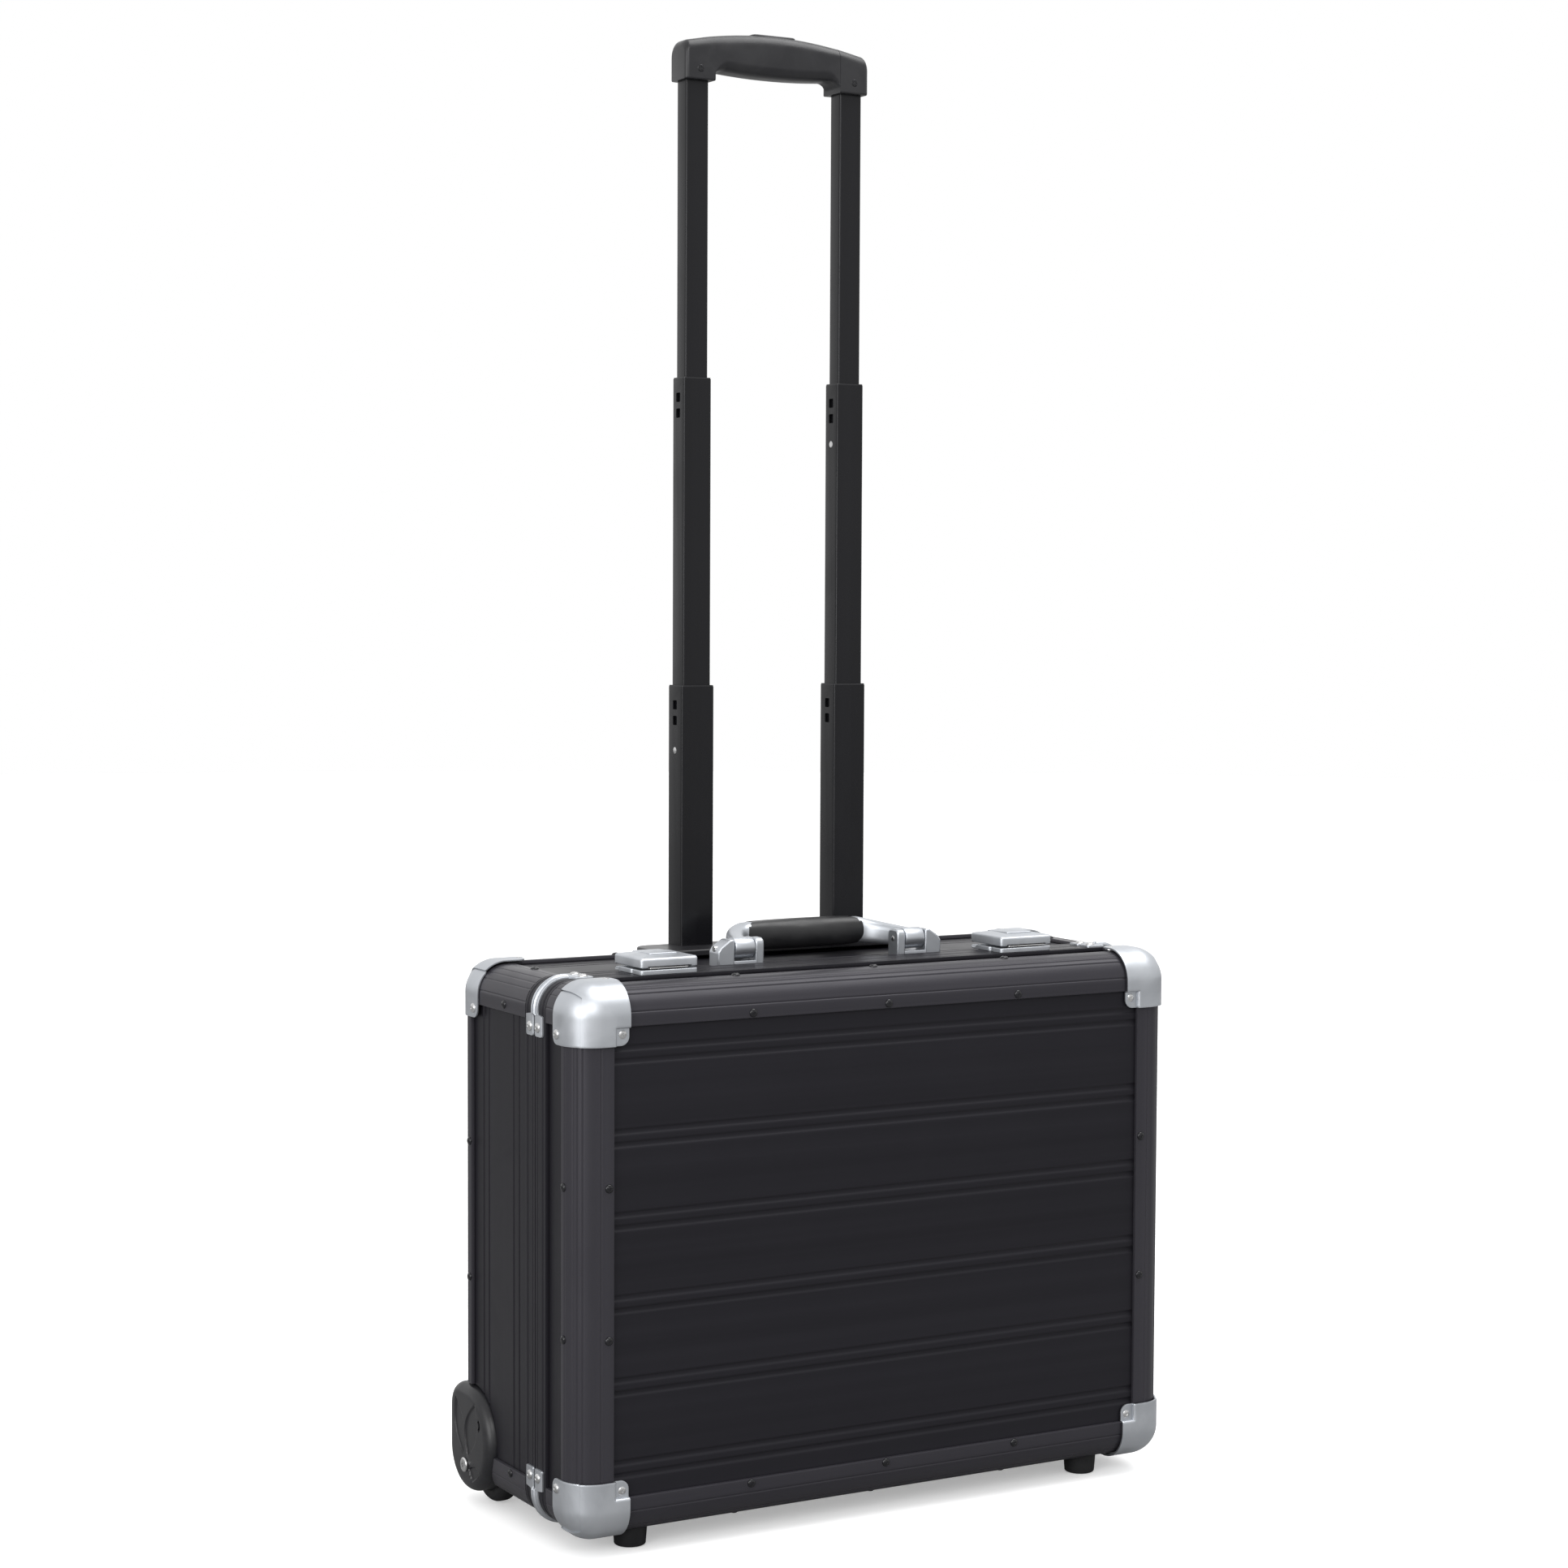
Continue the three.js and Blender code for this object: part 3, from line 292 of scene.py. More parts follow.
LINING = woven("woven lining", (0.020, 0.020, 0.024), (0.050, 0.050, 0.056), 260.0)

# %% [markdown]
# ## How a surface becomes a piece
# Nearly every piece is a stack of closed loops of points: an outline carried along a straight line,
# round the case, or along a bent path. Neighbouring loops are joined with four-cornered faces and the
# first and last loop are closed. Working the loops out as arrays keeps each piece to a few lines.

# %% From loops to a piece
def skin(loops, round_trip=False):
    """Points, and faces between neighbouring loops. loops is (loops, points, 3); round_trip joins the
    last loop to the first, and otherwise the two ends are closed with one face each."""
    n, m = loops.shape[:2]
    i = np.arange(n if round_trip else n - 1)[:, None]
    j = np.arange(m)[None, :]
    i_next, j_next = (i + 1) % n, (j + 1) % m
    quads = np.stack([i * m + j, i * m + j_next, i_next * m + j_next, i_next * m + j], axis=-1)
    faces = quads.reshape(-1, 4).tolist()
    if not round_trip:
        faces.append(np.arange(m)[::-1].tolist())
        faces.append((np.arange(m) + (n - 1) * m).tolist())
    return loops.reshape(-1, 3), faces


def surface(shape):
    """The (points, faces) of a shape, which is either that already or loops still to be skinned."""
    return skin(shape) if isinstance(shape, np.ndarray) else shape


def together(shapes):
    """Several shapes as one (points, faces)."""
    points, faces, count = [], [], 0
    for some, more in map(surface, shapes):
        points.append(np.asarray(some).reshape(-1, 3))
        faces += [[index + count for index in face] for face in more]
        count += len(points[-1])
    return np.concatenate(points), faces


def shade(mesh, degrees):
    """Smooth shading, with edges sharper than that many degrees kept sharp."""
    mesh.polygons.foreach_set("use_smooth", np.ones(len(mesh.polygons), bool))
    mesh.set_sharp_from_angle(angle=math.radians(degrees))


def mesh_object(name, shape, material, smooth=32, outward=True):
    """A mesh object from a shape in case millimetres, with doubles merged and faces outward."""
    points, faces = surface(shape)
    mesh = bpy.data.meshes.new(name)
    mesh.from_pydata(place(points).tolist(), [], faces)
    work = bmesh.new()
    work.from_mesh(mesh)
    bmesh.ops.remove_doubles(work, verts=work.verts, dist=2e-6)
    bmesh.ops.dissolve_degenerate(work, edges=work.edges, dist=1e-7)
    if outward:
        bmesh.ops.recalc_face_normals(work, faces=work.faces)
    work.to_mesh(mesh)
    work.free()
    shade(mesh, smooth)
    mesh.materials.append(material)
    made = bpy.data.objects.new(name, mesh)
    bpy.context.scene.collection.objects.link(made)
    return made


MADE, TOOLS = [], []


def finished(piece, body, slot, *stands_for):
    """The piece rides on its body and stands for nodes; slot is not used."""
    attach(piece, body)
    if stands_for:
        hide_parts(*stands_for)
    MADE.append(piece.name)
    return piece


def tool(shape):
    """A cutting solid, taken away again once everything is carved."""
    made = mesh_object("tool", shape, PLASTIC)
    made.hide_render = True
    TOOLS.append(made)
    return made


def carve(piece, *tools):
    """Cuts every tool out of the piece with an exact Boolean and keeps the result as plain mesh."""
    for cutter in tools:
        cut = piece.modifiers.new("cut", "BOOLEAN")
        cut.operation = "DIFFERENCE"
        cut.solver = "EXACT"
        cut.object = cutter
    seen = piece.evaluated_get(bpy.context.evaluated_depsgraph_get())
    mesh = bpy.data.meshes.new_from_object(seen)
    piece.modifiers.clear()
    piece.data = mesh
    shade(mesh, 32)
    return piece


def stand_in(name, shape, material, body, slot, smooth=32, cuts=()):
    """The finished skin of the node of that name, with any cuts taken out of it first."""
    piece = mesh_object(name + "_skin", shape, material, smooth)
    if cuts:
        carve(piece, *cuts)
    return finished(piece, body, slot, name)


def soften(piece, width, segments, angle):
    """Rounds the edges of a piece by a Bevel of that many millimetres."""
    bevel = piece.modifiers.new("soft edges", "BEVEL")
    bevel.width = width * MM
    bevel.segments = segments
    bevel.limit_method = "ANGLE"
    bevel.angle_limit = math.radians(angle)
    bevel.harden_normals = False
    return piece


# %% Outlines and turned shapes
def rounded_rectangle(a0, a1, b0, b1, radius, steps=6):
    """Points round a rectangle: four quarter circles of that radius, joined by straight sides."""
    turn = np.linspace(0, np.pi / 2, steps + 1)
    corners = [(a1 - radius, b0 + radius, -np.pi / 2), (a1 - radius, b1 - radius, 0),
               (a0 + radius, b1 - radius, np.pi / 2), (a0 + radius, b0 + radius, np.pi)]
    return np.concatenate([
        np.stack([a + radius * np.cos(start + turn), b + radius * np.sin(start + turn)], 1)
        for a, b, start in corners
    ])


def grown(a, b, margin, radius, steps=6):
    """Plan of a box from corner a to corner b, grown by a margin, with round corners."""
    return rounded_rectangle(a[0] - margin, b[0] + margin, a[1] - margin, b[1] + margin, radius, steps)


def carried(outline, axis, stations):
    """An outline of (first, second) other coordinates at each station along an axis."""
    outline, stations = np.asarray(outline, float), np.sort(stations)
    loops = np.empty((len(stations), len(outline), 3))
    along = "xyz".index(axis)
    loops[:, :, [k for k in range(3) if k != along]] = outline
    loops[:, :, along] = stations[:, None]
    return loops


def turned(profile, centre, direction, around=48):
    """Circles of radius r at centre + direction * h for each (r, h) of the profile: feet, wheels,
    screw heads, rivets and pins are all spun like this."""
    profile = np.asarray(profile, float)
    direction = np.asarray(direction, float) / np.linalg.norm(direction)
    across = np.cross(direction, [0.3, 0.5, 0.8])
    across /= np.linalg.norm(across)
    other = np.cross(direction, across)
    phi = np.linspace(0, 2 * np.pi, around, endpoint=False)
    ring = np.cos(phi)[:, None] * across + np.sin(phi)[:, None] * other
    return np.asarray(centre, float) + profile[:, :1, None] * ring[None] + profile[:, 1:, None] * direction


def rod(radius, reach, centre, around):
    """A cylinder along x, reaching equally far to both sides of its centre."""
    return turned([[radius, -reach], [radius, reach]], centre, [1, 0, 0], around)


def rolled(r0, h0, r1, h1, steps=5):
    """Points of a quarter ellipse from (r0, h0), where it runs outwards, to (r1, h1), where it rises."""
    t = np.linspace(0, np.pi / 2, steps)
    return np.stack([r0 + (r1 - r0) * np.sin(t), h0 + (h1 - h0) * (1 - np.cos(t))], 1)


def eased(t):
    """t held between 0 and 1, with a soft start and end: 3 t^2 - 2 t^3."""
    t = np.clip(t, 0, 1)
    return t * t * (3 - 2 * t)

# %% [markdown]
# ## Edge profiles
# Rounded aluminium extrusions wrap every long edge of the case. One section does for all of them: a
# straight leg, a quarter circle, another straight leg, with the die's fine grooves along the outside.
# The outside is walked by its own length, so a groove is a dip at a distance, and the section is then
# drawn along its edge.

# %% The profile's section
PROFILE_WALL, PROFILE_LIP = 2.4, 0.7
# (distance along the section, depth, width) of each groove
FACE_GROOVES = [(9.5, 0.45, 0.5), (12.5, 0.12, 1.6), (22.0, 0.40, 0.45), (26.0, 0.40, 0.45), (29.0, 0.25, 0.4),
                (36.5, 0.35, 0.4)]
CORNER_GROOVES = [(6.0, 0.30, 0.4), (15.0, 0.35, 0.4), (20.5, 0.30, 0.5), (26.0, 0.35, 0.4), (35.0, 0.30, 0.4)]
FACE_LIP_SIDE, FACE_LIP_END, SIDE_LIP, CORNER_LIP = 28.0, 26.5, 22.0, 27.0


def edge_section(lip_a, lip_b, grooves):
    """Outline points (a, b), measured inwards from the two faces that meet at the edge. Walking s
    along the outside, each point moves inwards by a sum of dips d * exp(-((s - s0) / w)^2), and the
    two ends are rounded over the lip."""
    straight_a = lip_a - ROUND
    quarter = ROUND * np.pi / 2
    length = straight_a + quarter + lip_b - ROUND
    s = np.linspace(0, length, 150)
    angle = np.clip((s - straight_a) / ROUND, 0, np.pi / 2)
    a = ROUND - ROUND * np.sin(angle) + np.clip(straight_a - s, 0, None)
    b = ROUND - ROUND * np.cos(angle) + np.clip(s - straight_a - quarter, 0, None)
    edge = np.minimum(np.minimum(s, length - s), PROFILE_LIP)
    dip = PROFILE_LIP - np.sqrt(PROFILE_LIP**2 - (PROFILE_LIP - edge) ** 2)
    for middle, depth, width in grooves:
        dip = dip + depth * np.exp(-(((s - middle) / width) ** 2))
    outside = np.stack([a + dip * np.sin(angle), b + dip * np.cos(angle)], 1)
    turn = np.linspace(np.pi / 2, 0, 9)
    inner = ROUND - (ROUND - PROFILE_WALL) * np.stack([np.sin(turn), np.cos(turn)], 1)
    return np.concatenate([outside, [[PROFILE_WALL, lip_b]], inner, [[lip_a, PROFILE_WALL]]])


def corner_outline(side, level):
    """(x, z) of the profile that runs front to back along one edge."""
    section = edge_section(CORNER_LIP, CORNER_LIP, CORNER_GROOVES)
    return np.stack([from_side(side, section[:, 0]), from_level(level, section[:, 1])], 1)


# %% Profiles of the front, the rear and the edges between them
profiles = []
upright, lying = (edge_section(lip, SIDE_LIP, FACE_GROOVES) for lip in (FACE_LIP_SIDE, FACE_LIP_END))
ends = [BOTTOM + FACE_LIP_END + GAP, TOP - FACE_LIP_END - GAP]
for half, face, body in (("lid", -1, "lid"), ("rear", 1, "rear_half")):
    for side, sign in SIDES:
        outline = np.stack([from_side(sign, upright[:, 0]), from_face(face, upright[:, 1])], 1)
        profiles.append((f"{half}_profile_{side}", outline, "z", ends, body))
    for level, sign in LEVELS:
        outline = np.stack([from_face(face, lying[:, 1]), from_level(sign, lying[:, 0])], 1)
        profiles.append((f"{half}_profile_{level}", outline, "x", [ROUND - HALF, HALF - ROUND], body))
for side, across in SIDES:
    for level, height in LEVELS:
        span = [REAR_FRAME_BACK + GAP, BACK - SIDE_LIP - GAP]
        profiles.append((f"corner_profile_{level}_{side}", corner_outline(across, height), "y", span,
                         "rear_half"))

# %% [markdown]
# Some of the rear profiles and panels make room for the wheel housings or the trolley's tubes. The
# same outline that shapes the housing cuts that room, so the two always fit.

# %% The outline of a wheel housing
axle = inside("wheel_axle_left")
WHEEL_Y = (axle[0][1] + axle[1][1]) / 2
WHEEL_Z = (axle[0][2] + axle[1][2]) / 2
HOUSING_OUT, HOUSING_IN = 4.5, 36.0  # how far a housing stands out of the side, and reaches in
housing_low, housing_high = inside("wheel_housing_left")


def housing_outline(inset, count=120):
    """(y, z) round the housing: half a circle at the front, a small and a large round at the rear,
    all drawn in by inset, and then spaced evenly by length."""
    y1, z0, z1 = housing_high[1], housing_low[2], housing_high[2]
    front = (z1 - z0) / 2
    big, small = 30.0, 18.0

    def arc(y, z, radius, start, end, steps):
        turn = np.linspace(start * np.pi / 2, end * np.pi / 2, steps)
        return np.stack([y + (radius - inset) * np.cos(turn), z + (radius - inset) * np.sin(turn)], 1)

    raw = np.concatenate([arc(WHEEL_Y, (z0 + z1) / 2, front, 1, 3, 40), arc(y1 - big, z0 + big, big, -1, 0, 24),
                          arc(y1 - small, z1 - small, small, 0, 1, 20)])
    loop = np.concatenate([raw, raw[:1]])
    run = np.concatenate([[0], np.cumsum(np.linalg.norm(np.diff(loop, axis=0), axis=1))])
    even = np.linspace(0, run[-1], count + 1)[:-1]
    return np.stack([np.interp(even, run, loop[:, 0]), np.interp(even, run, loop[:, 1])], 1)


wells = [tool(carried(housing_outline(-GAP), "x", [sign * (HALF - HOUSING_IN - GAP), sign * (HALF + 8)]))
         for side, sign in SIDES]
stems = [tool(carried(grown(*inside(f"lower_tube_{side}"), 1.8, 4.4), "z", [TOP - 40, TOP + 20]))
         for side, sign in SIDES]

# %% Make the profiles
# The profiles take the lighter copy of the black aluminium, whose lighter colour is painted highlight.
for name, outline, axis, ends, body in profiles:
    if name.startswith("rear_profile_top"):
        cuts = stems
    else:
        cuts = wells if name.startswith(("rear_profile", "corner_profile_bottom")) else ()
    stand_in(name, carried(outline, axis, ends), PAINTED_HIGHLIGHT_EDGE[axis], body, "black_aluminium", cuts=cuts)
print(len(profiles), "edge profiles")

# %% [markdown]
# ## Panels
# The panels are sheet with pairs of soft channels rolled into it. A channel is a smooth dip across
# the sheet, so the panel is a section again: out along the channelled side and back along the plain
# one, pushed across the case.

# %% Channelled sheet
PANEL_INSET, PANEL_WALL = 2.7, 1.6
CHANNELS_APART = 8.5
FACE_PAIRS, FACE_PITCH, FACE_CHANNEL = 6, 54.3, (0.95, 1.9)  # a channel is (depth, half width)
SIDE_PAIRS, SIDE_PITCH, SIDE_CHANNEL = 2, 48.0, (0.8, 0.9)


def channelled(start, end, outside, inward, channels, channel):
    """Section of a sheet: the outer side dips by depth * exp(-((s - s0) / width)^4) at each channel,
    and the inner side is straight."""
    depth, width = channel
    s = np.linspace(start, end, int((end - start) / 0.45))
    dip = sum(depth * np.exp(-(((s - middle) / width) ** 4)) for middle in channels)
    back = outside + inward * (PANEL_WALL + 0.2)
    return np.concatenate([np.stack([s, outside + inward * dip], 1), [[end, back], [start, back]]])


def pairs(middle, count, pitch):
    """Middles of channels in pairs about a middle."""
    centres = middle + (np.arange(count) - (count - 1) / 2) * pitch
    return np.sort(np.concatenate([centres - CHANNELS_APART / 2, centres + CHANNELS_APART / 2]))


face_channels = pairs((TOP + BOTTOM) / 2, FACE_PAIRS, FACE_PITCH)
side_channels = pairs((REAR_FRAME_BACK + BACK - SIDE_LIP) / 2, SIDE_PAIRS, SIDE_PITCH)
side_span = REAR_FRAME_BACK - ENTERS, BACK - ROUND - GAP
clear = ROUND + GAP
sheets = []
for name, face, body in (("front_panel", -1, "lid"), ("rear_panel", 1, "rear_half")):
    section = channelled(BOTTOM + ROUND, TOP - ROUND, from_face(face, PANEL_INSET), -face,
                         face_channels, FACE_CHANNEL)
    sheets.append((name, section[:, ::-1], "x", [ROUND - HALF, HALF - ROUND], body))
for side, sign in SIDES:
    section = channelled(*side_span, from_side(sign, PANEL_INSET), -sign, side_channels, SIDE_CHANNEL)
    sheets.append((f"side_panel_{side}", section[:, ::-1], "z", [BOTTOM + clear, TOP - clear], "rear_half"))
for level, sign in LEVELS:
    section = channelled(*side_span, from_level(sign, PANEL_INSET), -sign, side_channels, SIDE_CHANNEL)
    sheets.append((f"{level}_panel", section, "x", [clear - HALF, HALF - clear], "rear_half"))
for name, section, axis, ends, body in sheets:
    cuts = {"top_panel": stems, "front_panel": ()}.get(name, wells)
    stand_in(name, carried(section, axis, ends), BLACK[axis], body, "black_aluminium", cuts=cuts)
print(len(sheets), "panels")

# %% [markdown]
# ## Closing frames, and the lid's side wall
# Each half ends in one extrusion bent round the case. A ring like this is a section carried round a
# rounded rectangle: a point that lies deeper in the case goes round smaller corners. The lid's side
# wall is one sheet bent the same way.

# %% Round the case
FRAME_WALL = 7.5


def round_case(section, steps=14):
    """A closed section of (y, depth into the case) carried round the case's outline. At each corner
    the point turns about the corner's centre at radius ROUND minus its depth."""
    section = np.asarray(section, float)
    turn = np.linspace(0, np.pi / 2, steps)
    angles = np.concatenate([turn + k * np.pi / 2 for k in range(4)])
    sx = np.repeat([1, -1, -1, 1], steps)
    sz = np.repeat([1, 1, -1, -1], steps)
    middle = (TOP + BOTTOM) / 2
    radius = ROUND - section[None, :, 1]
    loops = np.empty((len(angles), len(section), 3))
    loops[:, :, 0] = (sx * (HALF - ROUND))[:, None] + radius * np.cos(angles)[:, None]
    loops[:, :, 1] = section[None, :, 0]
    loops[:, :, 2] = (middle + sz * ((TOP - BOTTOM) / 2 - ROUND))[:, None] + radius * np.sin(angles)[:, None]
    return loops


def frame_section(panel_side, parting_side):
    """Section of a closing frame, from the edge that holds the panels to the parting: a rounded lip,
    two fine grooves, a flat, a third groove, a rounded edge at the parting, and the slot for the
    panels."""
    way = np.sign(parting_side - panel_side)
    width = abs(parting_side - panel_side)
    s = np.linspace(0, width, 70)
    lip = 0.6
    edge = np.minimum(np.minimum(s, width - s), lip)
    dip = lip - np.sqrt(lip**2 - (lip - edge) ** 2)
    for middle in (3.2, 4.6, width - 3.4):
        dip = dip + 0.3 * np.exp(-(((s - middle) / 0.32) ** 2))
    slot_end, slot_low, slot_high = panel_side + way * 5, 4.7, 2.4
    back = [[parting_side, FRAME_WALL], [panel_side, FRAME_WALL], [panel_side, slot_low], [slot_end, slot_low],
            [slot_end, slot_high], [panel_side, slot_high]]
    return np.concatenate([np.stack([panel_side + way * s, dip], 1), back])


band = np.array([[20.3, PANEL_INSET], [LID_FRAME_FRONT + ENTERS, PANEL_INSET],
                 [LID_FRAME_FRONT + ENTERS, PANEL_INSET + PANEL_WALL], [20.3, PANEL_INSET + PANEL_WALL]])
for name, section, body in (("lid_frame", frame_section(LID_FRAME_FRONT, PARTING - 0.35), "lid"),
                            ("rear_frame", frame_section(REAR_FRAME_BACK, PARTING + 0.35), "rear_half"),
                            ("lid_side_band", band, "lid")):
    stand_in(name, skin(round_case(section), round_trip=True), BLACK["z"], body, "black_aluminium")

# %% [markdown]
# Between the lid's frame and its corner caps the corner is covered by a short piece of the same
# rounded profile that runs along the rear half.

# %% Corner strips of the lid
for side, across in SIDES:
    for level, height in LEVELS:
        strip = carried(corner_outline(across, height), "y", [SIDE_LIP + GAP, LID_FRAME_FRONT - GAP])
        # The strips take the same lighter copy of the black aluminium, with painted highlight.
        piece = mesh_object(f"lid_corner_strip_{level}_{side}", strip, PAINTED_HIGHLIGHT_EDGE["y"])
        finished(piece, "lid", "black_aluminium")

# %% [markdown]
# ## Corner caps
# A pressed cap is a sheet drawn over the corner of a box. Take a point on the sharp box, pull it to
# the nearest point of an inner box and push it out again by the edge radius: flat parts stay flat,
# edges become quarter cylinders and the corner an eighth of a sphere. The far corner of each face is
# rounded, and on the front a square is let down to the panel to take a rivet. A Solidify gives the
# sheet its thickness.

# %% Cap surface
CAP_STAND, CAP_SUNK, CAP_CORNER, CAP_WALL = 1.5, -1.3, 6.0, 1.1
CAP_SIZE = {-1: (38.4, 31.0), 1: (36.0, 35.0)}  # of a front and a rear cap: (across, front to back)
SQUARE = (FACE_LIP_SIDE - 0.4, FACE_LIP_END - 0.4)


def cap_face(u, v, length_u, length_v):
    """Grid of distances on one face. The last corner of the sheet is rounded with the map
    (p, q) -> (p * sqrt(1 - q^2 / 2), q * sqrt(1 - p^2 / 2)), which keeps its other two sides."""
    a, b = np.meshgrid(u, v, indexing="ij")
    start_u, start_v = length_u - CAP_CORNER, length_v - CAP_CORNER
    p = np.clip((a - start_u) / CAP_CORNER, 0, 1)
    q = np.clip((b - start_v) / CAP_CORNER, 0, 1)
    far = (p > 0) & (q > 0)
    a = np.where(far, start_u + CAP_CORNER * p * np.sqrt(1 - q**2 / 2), a)
    b = np.where(far, start_v + CAP_CORNER * q * np.sqrt(1 - p**2 / 2), b)
    return a, b


def grid_lines(length, marks=()):
    """Grid lines along one side of a cap: every 1.3 mm, and closer at the marks."""
    lines = list(np.linspace(0, length, int(length / 1.3) + 1))
    for mark in marks:
        lines += [mark - 0.45, mark - 0.15, mark + 0.15, mark + 0.45]
    return np.unique(np.round([x for x in lines if 0 <= x <= length], 4))


def cap(name, side, level, face, body):
    """A corner cap. Its coordinates 0, 1 and 2 are the distances from the side, the front or rear,
    and the top or bottom. The sheet stands off the case, and sinks at the riveted square."""
    across, deep = CAP_SIZE[face]
    size = (across, deep, across)
    lines = (grid_lines(across, SQUARE[:1]), grid_lines(deep), grid_lines(across, SQUARE[1:]))
    parts = []
    for first, second in ((0, 2), (0, 1), (1, 2)):
        p, q = cap_face(lines[first], lines[second], size[first], size[second])
        box = np.zeros((*p.shape, 3))
        box[..., first], box[..., second] = p, q
        core = np.maximum(box, ROUND)
        away = box - core
        away /= np.linalg.norm(away, axis=-1, keepdims=True)
        height = np.full(p.shape, ROUND + CAP_STAND)
        if (first, second) == (0, 2):
            blend = np.clip((p - SQUARE[0]) / 0.5 + 0.5, 0, 1) * np.clip((q - SQUARE[1]) / 0.5 + 0.5, 0, 1)
            height -= (CAP_STAND - CAP_SUNK) * eased(blend)
        shell = core + away * height[..., None]
        points = [from_side(side, shell[..., 0]), from_face(face, shell[..., 1]),
                  from_level(level, shell[..., 2])]
        n, m = p.shape
        i, j = np.meshgrid(np.arange(n - 1), np.arange(m - 1), indexing="ij")
        quads = np.stack([i * m + j, i * m + j + 1, (i + 1) * m + j + 1, (i + 1) * m + j], -1).reshape(-1, 4)
        flip = side * level * face * (-1 if (first, second) == (0, 1) else 1)
        parts.append((np.stack(points, -1), (quads if flip < 0 else quads[:, ::-1]).tolist()))
    piece = mesh_object(name + "_skin", together(parts), SILVER, smooth=50, outward=False)
    wall = piece.modifiers.new("sheet", "SOLIDIFY")
    wall.thickness = CAP_WALL * MM
    wall.offset = -1
    finished(soften(piece, 0.3, 2, 60), body, "silver_metal", name)


for level, height in LEVELS:
    for side, across in SIDES:
        cap(f"lid_cap_{level}_{side}", across, height, -1, "lid")
        if level == "top":
            cap(f"rear_cap_{side}", across, height, 1, "rear_half")
print("six corner caps")

# %% [markdown]
# ## Corner trims at the parting
# Where the two halves meet, each closing frame has a silver strap over its corners, with a bead next
# to the parting and a pad with a rivet at each end. The strap follows the case's outline by length, u
# millimetres from the middle of the corner, and its far edge steps out to the pad's width at the ends.

# %% Along the corner
STRAP_WIDTH, PAD_EXTRA, STRAP_STAND = 5.0, 7.0, 1.15
HALF_CORNER = ROUND * np.pi / 4  # half the length of the rounded corner


def along_corner(u):
    """(x, z) and the outward normal at u mm from the corner's middle, for the top right corner:
    positive u goes along the top, negative down the side."""
    angle = np.pi / 4 + np.clip(u, -HALF_CORNER, HALF_CORNER) / ROUND
    nx, nz = np.cos(angle), np.sin(angle)
    over = np.clip(u - HALF_CORNER, 0, None)
    under = np.clip(-HALF_CORNER - u, 0, None)
    return HALF - ROUND + ROUND * nx - over, TOP - ROUND + ROUND * nz - under, nx, nz


def strap(side, level, way):
    """A strap over one corner of one frame; way is -1 on the lid and 1 on the rear half. Across it,
    the section is a list of (distance from the parting, height) that changes from bead to pad."""
    pad_start, pad_end = HALF_CORNER + 2.2, HALF_CORNER + 17.0
    u = np.linspace(-pad_end, pad_end, 150)
    reach = np.abs(u)
    pad = eased((reach - pad_start) / 1.2)
    bead = 1 - pad
    tip = 1.5 * (1 - np.sqrt(np.clip(1 - np.clip((reach - pad_end + 1.5) / 1.5, 0, 1) ** 2, 0, 1)))
    width = STRAP_WIDTH + PAD_EXTRA * pad - tip
    start = 0.35 + 0.9 * pad + 0.8 * tip
    section = [
        (start, -0.2), (start, 0.7 + 0.4 * bead), (start + 0.25, 1.05 + 1.0 * bead),
        (start + 0.9, STRAP_STAND + 1.25 * bead), (start + 1.6, STRAP_STAND + 0.85 * bead),
        (start + 2.0, STRAP_STAND + 0.1 * bead), (width - 0.5, STRAP_STAND), (width - 0.1, 0.85), (width, -0.2),
    ]
    w, h = (np.stack([row[k] + np.zeros_like(u) for row in section], 1) for k in (0, 1))
    x, z, nx, nz = (values[:, None] for values in along_corner(u))
    loops = np.stack([side * (x + nx * h), PARTING + way * w, z + nz * h], -1)
    if level < 0:
        loops[..., 2] = TOP + BOTTOM - loops[..., 2]
    return loops


for way, body in ((-1, "lid"), (1, "rear_half")):
    straps = together([strap(side, level, way) for side in (-1, 1) for level in (-1, 1)])
    finished(mesh_object(f"corner_trims_{body}", straps, SILVER, 40), body, "silver_metal")

# %% [markdown]
# ## Rivets
# Every profile, cap and trim is riveted. A rivet head is a profile turned about its axis: a low dome
# with a shallow dimple where the mandrel broke off. Identical rivets on one body are one piece, made
# from one list of places and directions.

# %% Rivet heads
RIVET = np.array([[1.0, -0.6], [1.0, 0.10], [0.96, 0.34], [0.85, 0.60], [0.68, 0.82], [0.48, 0.96], [0.30, 1.0],
                  [0.24, 0.80], [0.10, 0.78]])  # (share of the radius, share of the height)


def rivets(name, rows, radius, height, material, body, slot):
    """One rivet head for each row of (x, y, z, and the three parts of its direction)."""
    heads = together([turned(RIVET * [radius, height], row[:3], row[3:], 20) for row in rows])
    finished(mesh_object(name, heads, material), body, slot)


